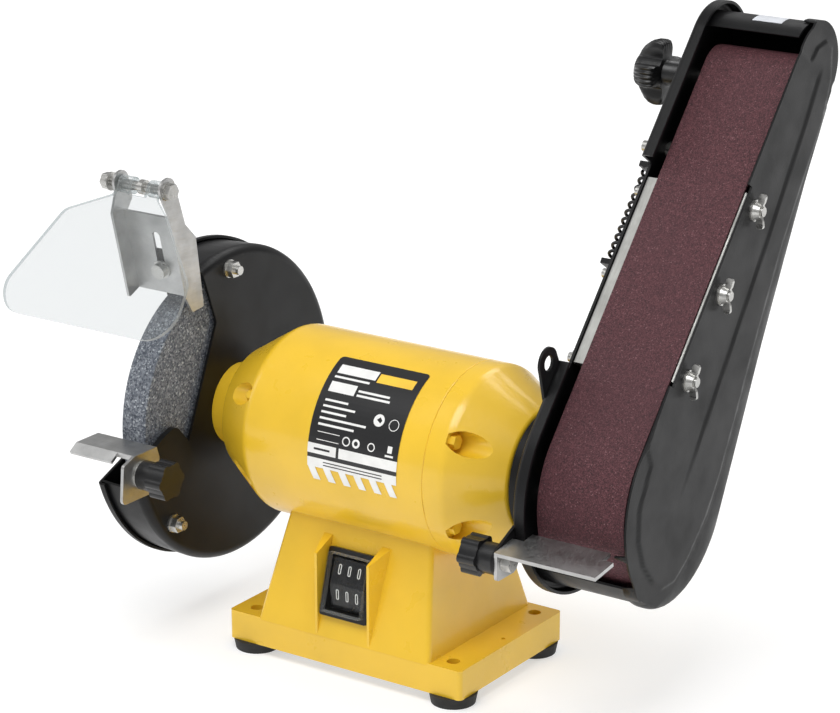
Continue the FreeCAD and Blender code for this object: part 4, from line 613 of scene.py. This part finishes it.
def cover_outline():
    """(s, n) round the cover: narrow front, wider rear rim, and the notch beside the platen."""
    front, rear = math.pi / 2 - taper(FRONT_LOW, FRONT_HIGH), math.pi / 2 - taper(REAR_LOW, REAR_HIGH)
    points = []
    for step in range(81):
        turn = front - (front + rear) * step / 80
        wide = float(ease((math.radians(52) - turn) / math.radians(14)))
        radius = FRONT_HIGH + (REAR_HIGH - FRONT_HIGH) * wide
        points.append((COVER_SPACING + radius * math.cos(turn), radius * math.sin(turn)))
    top, bottom = points[-1], (REAR_LOW * math.cos(rear), -REAR_LOW * math.sin(rear))
    for step in range(1, 120):
        share = step / 120
        points.append((top[0] + (bottom[0] - top[0]) * share, top[1] + (bottom[1] - top[1]) * share))
    sweep = 2 * math.pi - front - rear
    for step in range(161):
        turn = -rear - sweep * step / 160
        wide = 1 - float(ease((math.radians(-190) - turn) / math.radians(14)))
        radius = FRONT_LOW + (REAR_LOW - FRONT_LOW) * wide
        points.append((radius * math.cos(turn), radius * math.sin(turn)))
    points.append((NOTCH_LOW, side_line(NOTCH_LOW, FRONT_LOW, FRONT_HIGH)))
    for step in range(60):
        s = NOTCH_LOW + (NOTCH_HIGH - NOTCH_LOW) * step / 59
        points.append((s, side_line(s, BELT_LOW, BELT_HIGH) + 0.0003))
    for step in range(1, 40):
        s = NOTCH_HIGH + (points[0][0] - NOTCH_HIGH) * (step - 1) / 39
        points.append((s, side_line(s, FRONT_LOW, FRONT_HIGH)))
    return np.array(points)


def inside_distance(points, polygon):
    """Distance to a polygon's edge, positive inside and negative outside."""
    polygon = np.array(polygon, float)
    nearest = np.full(len(points), 1e9)
    inside = np.zeros(len(points), bool)
    for a, b in zip(polygon, np.roll(polygon, -1, 0)):
        edge, offset = b - a, points - a
        share = np.clip(offset @ edge / max(edge @ edge, 1e-18), 0, 1)
        nearest = np.minimum(nearest, np.hypot(*(offset - share[:, None] * edge).T))
        crosses = (a[1] > points[:, 1]) != (b[1] > points[:, 1])
        rise = b[1] - a[1] if abs(b[1] - a[1]) > 1e-15 else 1e-15
        inside ^= crosses & (points[:, 0] < a[0] + edge[0] * (points[:, 1] - a[1]) / rise)
    return np.where(inside, nearest, -nearest)


def cover_height(points, outline):
    """How far the face stands out of, or sinks below, the cover's plane at each (s, n)."""
    s, n = points[:, 0], points[:, 1]
    crease = np.interp(s, *np.array(CREASE).T)
    behind = ease((crease - n) / 0.0016 + 0.5)
    lower = ease((0.050 - s) / 0.055)
    upper = ease((s - 0.233) / 0.009)
    panel = ease(inside_distance(points, PANEL_EDGE) / 0.0014 + 0.3)
    height = PANEL_RISE * panel * (behind + (1 - behind) * np.maximum(lower, upper))
    outside = np.maximum(0, -inside_distance(points, BAND_EDGE))
    edge = np.maximum(1e-6, inside_distance(points, outline))
    share = np.clip(outside / (outside + edge), 0, 1)
    drop = np.interp(s, (-0.055, -0.040, 0.100, 0.190, 0.235), (0.0045, 0.0052, 0.0052, 0.0030, 0.0006))
    return height - drop * (0.35 * share + 0.65 * (1 - np.sqrt(1 - share ** 2)))


def wall_front(s):
    """n of the front edge of the arm's wall at s; the cover's rim meets the wall behind it."""
    if s < -0.04:
        return 0.017
    if s < 0.2:
        return 0.030 - s * 0.125
    return 0.005 + (s - 0.2) * 0.17


def make_cover():
    """Pressed cover: raised panel with a crease, rounded rear shoulder and a turned-in rim; the shoulder band
    carries painted shade.
    """
    outline = cover_outline()
    along, across = np.arange(-0.056, 0.265, GRID), np.arange(-0.056, 0.054, GRID)
    grid = np.array([(s, n) for s in along for n in across])
    grid = grid[inside_distance(grid, outline) > GRID * 0.45]
    flat = [Vector(point) for point in np.vstack([outline, grid])]
    count = len(outline)
    loop = [(index, (index + 1) % count) for index in range(count)]
    points, _, triangles, _, _, _ = delaunay_2d_cdt(flat, loop, [], 1, 1e-7)
    places = np.array([tuple(point) for point in points])
    heights = cover_height(places, outline)
    cover = bmesh.new()
    verts = [cover.verts.new(arm_point(COVER_X + height, s, n)) for (s, n), height in zip(places, heights)]
    for triangle in triangles:
        cover.faces.new([verts[index] for index in triangle])
    rims = [edge for edge in cover.edges if edge.is_boundary]
    made = bmesh.ops.extrude_edge_only(cover, edges=rims)["geom"]
    for vert in [item for item in made if isinstance(item, bmesh.types.BMVert)]:
        s, n = arm_place(vert.co)
        vert.co.x = RIM_X if n < wall_front(s) else vert.co.x - RIM_TURN
    bmesh.ops.recalc_face_normals(cover, faces=cover.faces)
    piece = mesh_piece("arm_pressed_cover", cover, MATERIALS["black_paint"], "sanding_arm")
    smooth(piece, 50)
    # Faces outside BAND_EDGE get the darker copy of the black paint, so the shoulder band's shade is painted into
    # its colour.
    piece.data.materials.append(SHADED_BAND_BLACK)
    centres = np.array([arm_place(polygon.center) for polygon in piece.data.polygons])
    for polygon, inset in zip(piece.data.polygons, inside_distance(centres, BAND_EDGE)):
        polygon.material_index = 1 if inset < -BAND_INSET else 0
    thick = piece.modifiers.new("sheet", "SOLIDIFY")
    thick.thickness = SHEET
    thick.offset = -1
    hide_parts("arm_outer_cover")


make_cover()

# ---------------------------------------------------------------- stage
FLOOR_SIZE = 6.0
FLOOR_GLOW = 0.50
BACKGROUND_GLOW = 0.82
WORLD_STRENGTH = 0.40


def make_floor():
    """Plain pale floor that brightens with distance, so that it meets the backdrop without a line."""
    mesh = bmesh.new()
    bmesh.ops.create_grid(mesh, x_segments=1, y_segments=1, size=FLOOR_SIZE)
    data = bpy.data.meshes.new("floor")
    mesh.to_mesh(data)
    mesh.free()
    floor = bpy.data.objects.new("floor", data)
    bpy.context.scene.collection.objects.link(floor)
    paint = Paint("pale_floor", (0.60, 0.60, 0.60), 0.9)
    paint.shader.inputs["Specular IOR Level"].default_value = 0.0
    paint.shader.inputs["Emission Color"].default_value = (1, 1, 1, 1)
    reach = paint.node("ShaderNodeVectorMath")
    reach.operation = "LENGTH"
    paint.link(paint.place, reach.inputs[0])
    glow = paint.spread(reach.outputs["Value"], 0.4, 2.2, FLOOR_GLOW, BACKGROUND_GLOW)
    paint.link(glow, paint.shader.inputs["Emission Strength"])
    data.materials.append(paint.material)


def make_world():
    """Even studio light, with a white backdrop for the camera."""
    world = bpy.data.worlds.new("studio")
    bpy.context.scene.world = world
    world.use_nodes = True
    nodes, links = world.node_tree.nodes, world.node_tree.links
    nodes["Background"].inputs["Color"].default_value = (1, 1, 1, 1)
    nodes["Background"].inputs["Strength"].default_value = WORLD_STRENGTH
    backdrop = nodes.new("ShaderNodeBackground")
    backdrop.inputs["Color"].default_value = (1, 1, 1, 1)
    chooser = nodes.new("ShaderNodeMixShader")
    rays = nodes.new("ShaderNodeLightPath")
    links.new(rays.outputs["Is Camera Ray"], chooser.inputs["Fac"])
    links.new(nodes["Background"].outputs["Background"], chooser.inputs[1])
    links.new(backdrop.outputs["Background"], chooser.inputs[2])
    links.new(chooser.outputs["Shader"], nodes["World Output"].inputs["Surface"])


make_floor()
make_world()

TARGET = Vector((0.0154, 0.0009, 0.1691))


def away(azimuth, elevation):
    """Direction from the target at an azimuth round from the front and an elevation, in degrees."""
    turn, rise = math.radians(azimuth), math.radians(elevation)
    return Vector((math.sin(turn) * math.cos(rise), -math.cos(turn) * math.cos(rise), math.sin(rise)))


def aimed(name, data, azimuth, elevation, distance):
    """Object that looks at the target."""
    looker = bpy.data.objects.new(name, data)
    bpy.context.scene.collection.objects.link(looker)
    back = away(azimuth, elevation)
    looker.location = TARGET + back * distance
    looker.rotation_mode = "QUATERNION"
    looker.rotation_quaternion = (-back).to_track_quat("-Z", "Y")
    return looker


def area_light(name, azimuth, elevation, distance, size, power):
    """Soft light that looks at the machine."""
    light = bpy.data.lights.new(name, "AREA")
    light.shape = "RECTANGLE"
    light.size, light.size_y = size
    light.energy = power
    aimed(name, light, azimuth, elevation, distance)


area_light("key", 5, 62, 1.6, (1.3, 0.8), 17)
area_light("right_strip", 95, 30, 1.5, (0.5, 1.3), 1.9)
area_light("back_rim", 170, 50, 1.6, (1.4, 0.6), 9)
area_light("left_fill", -75, 25, 1.6, (0.9, 0.9), 6)

bpy.context.scene.view_settings.view_transform = "Standard"

camera_data = bpy.data.cameras.new("camera")
camera_data.sensor_width = 36.0
camera_data.lens = 129.3
camera_data.clip_start, camera_data.clip_end = 0.05, 50
bpy.context.scene.camera = aimed("camera", camera_data, 34.3, 18.0, 1.5808)
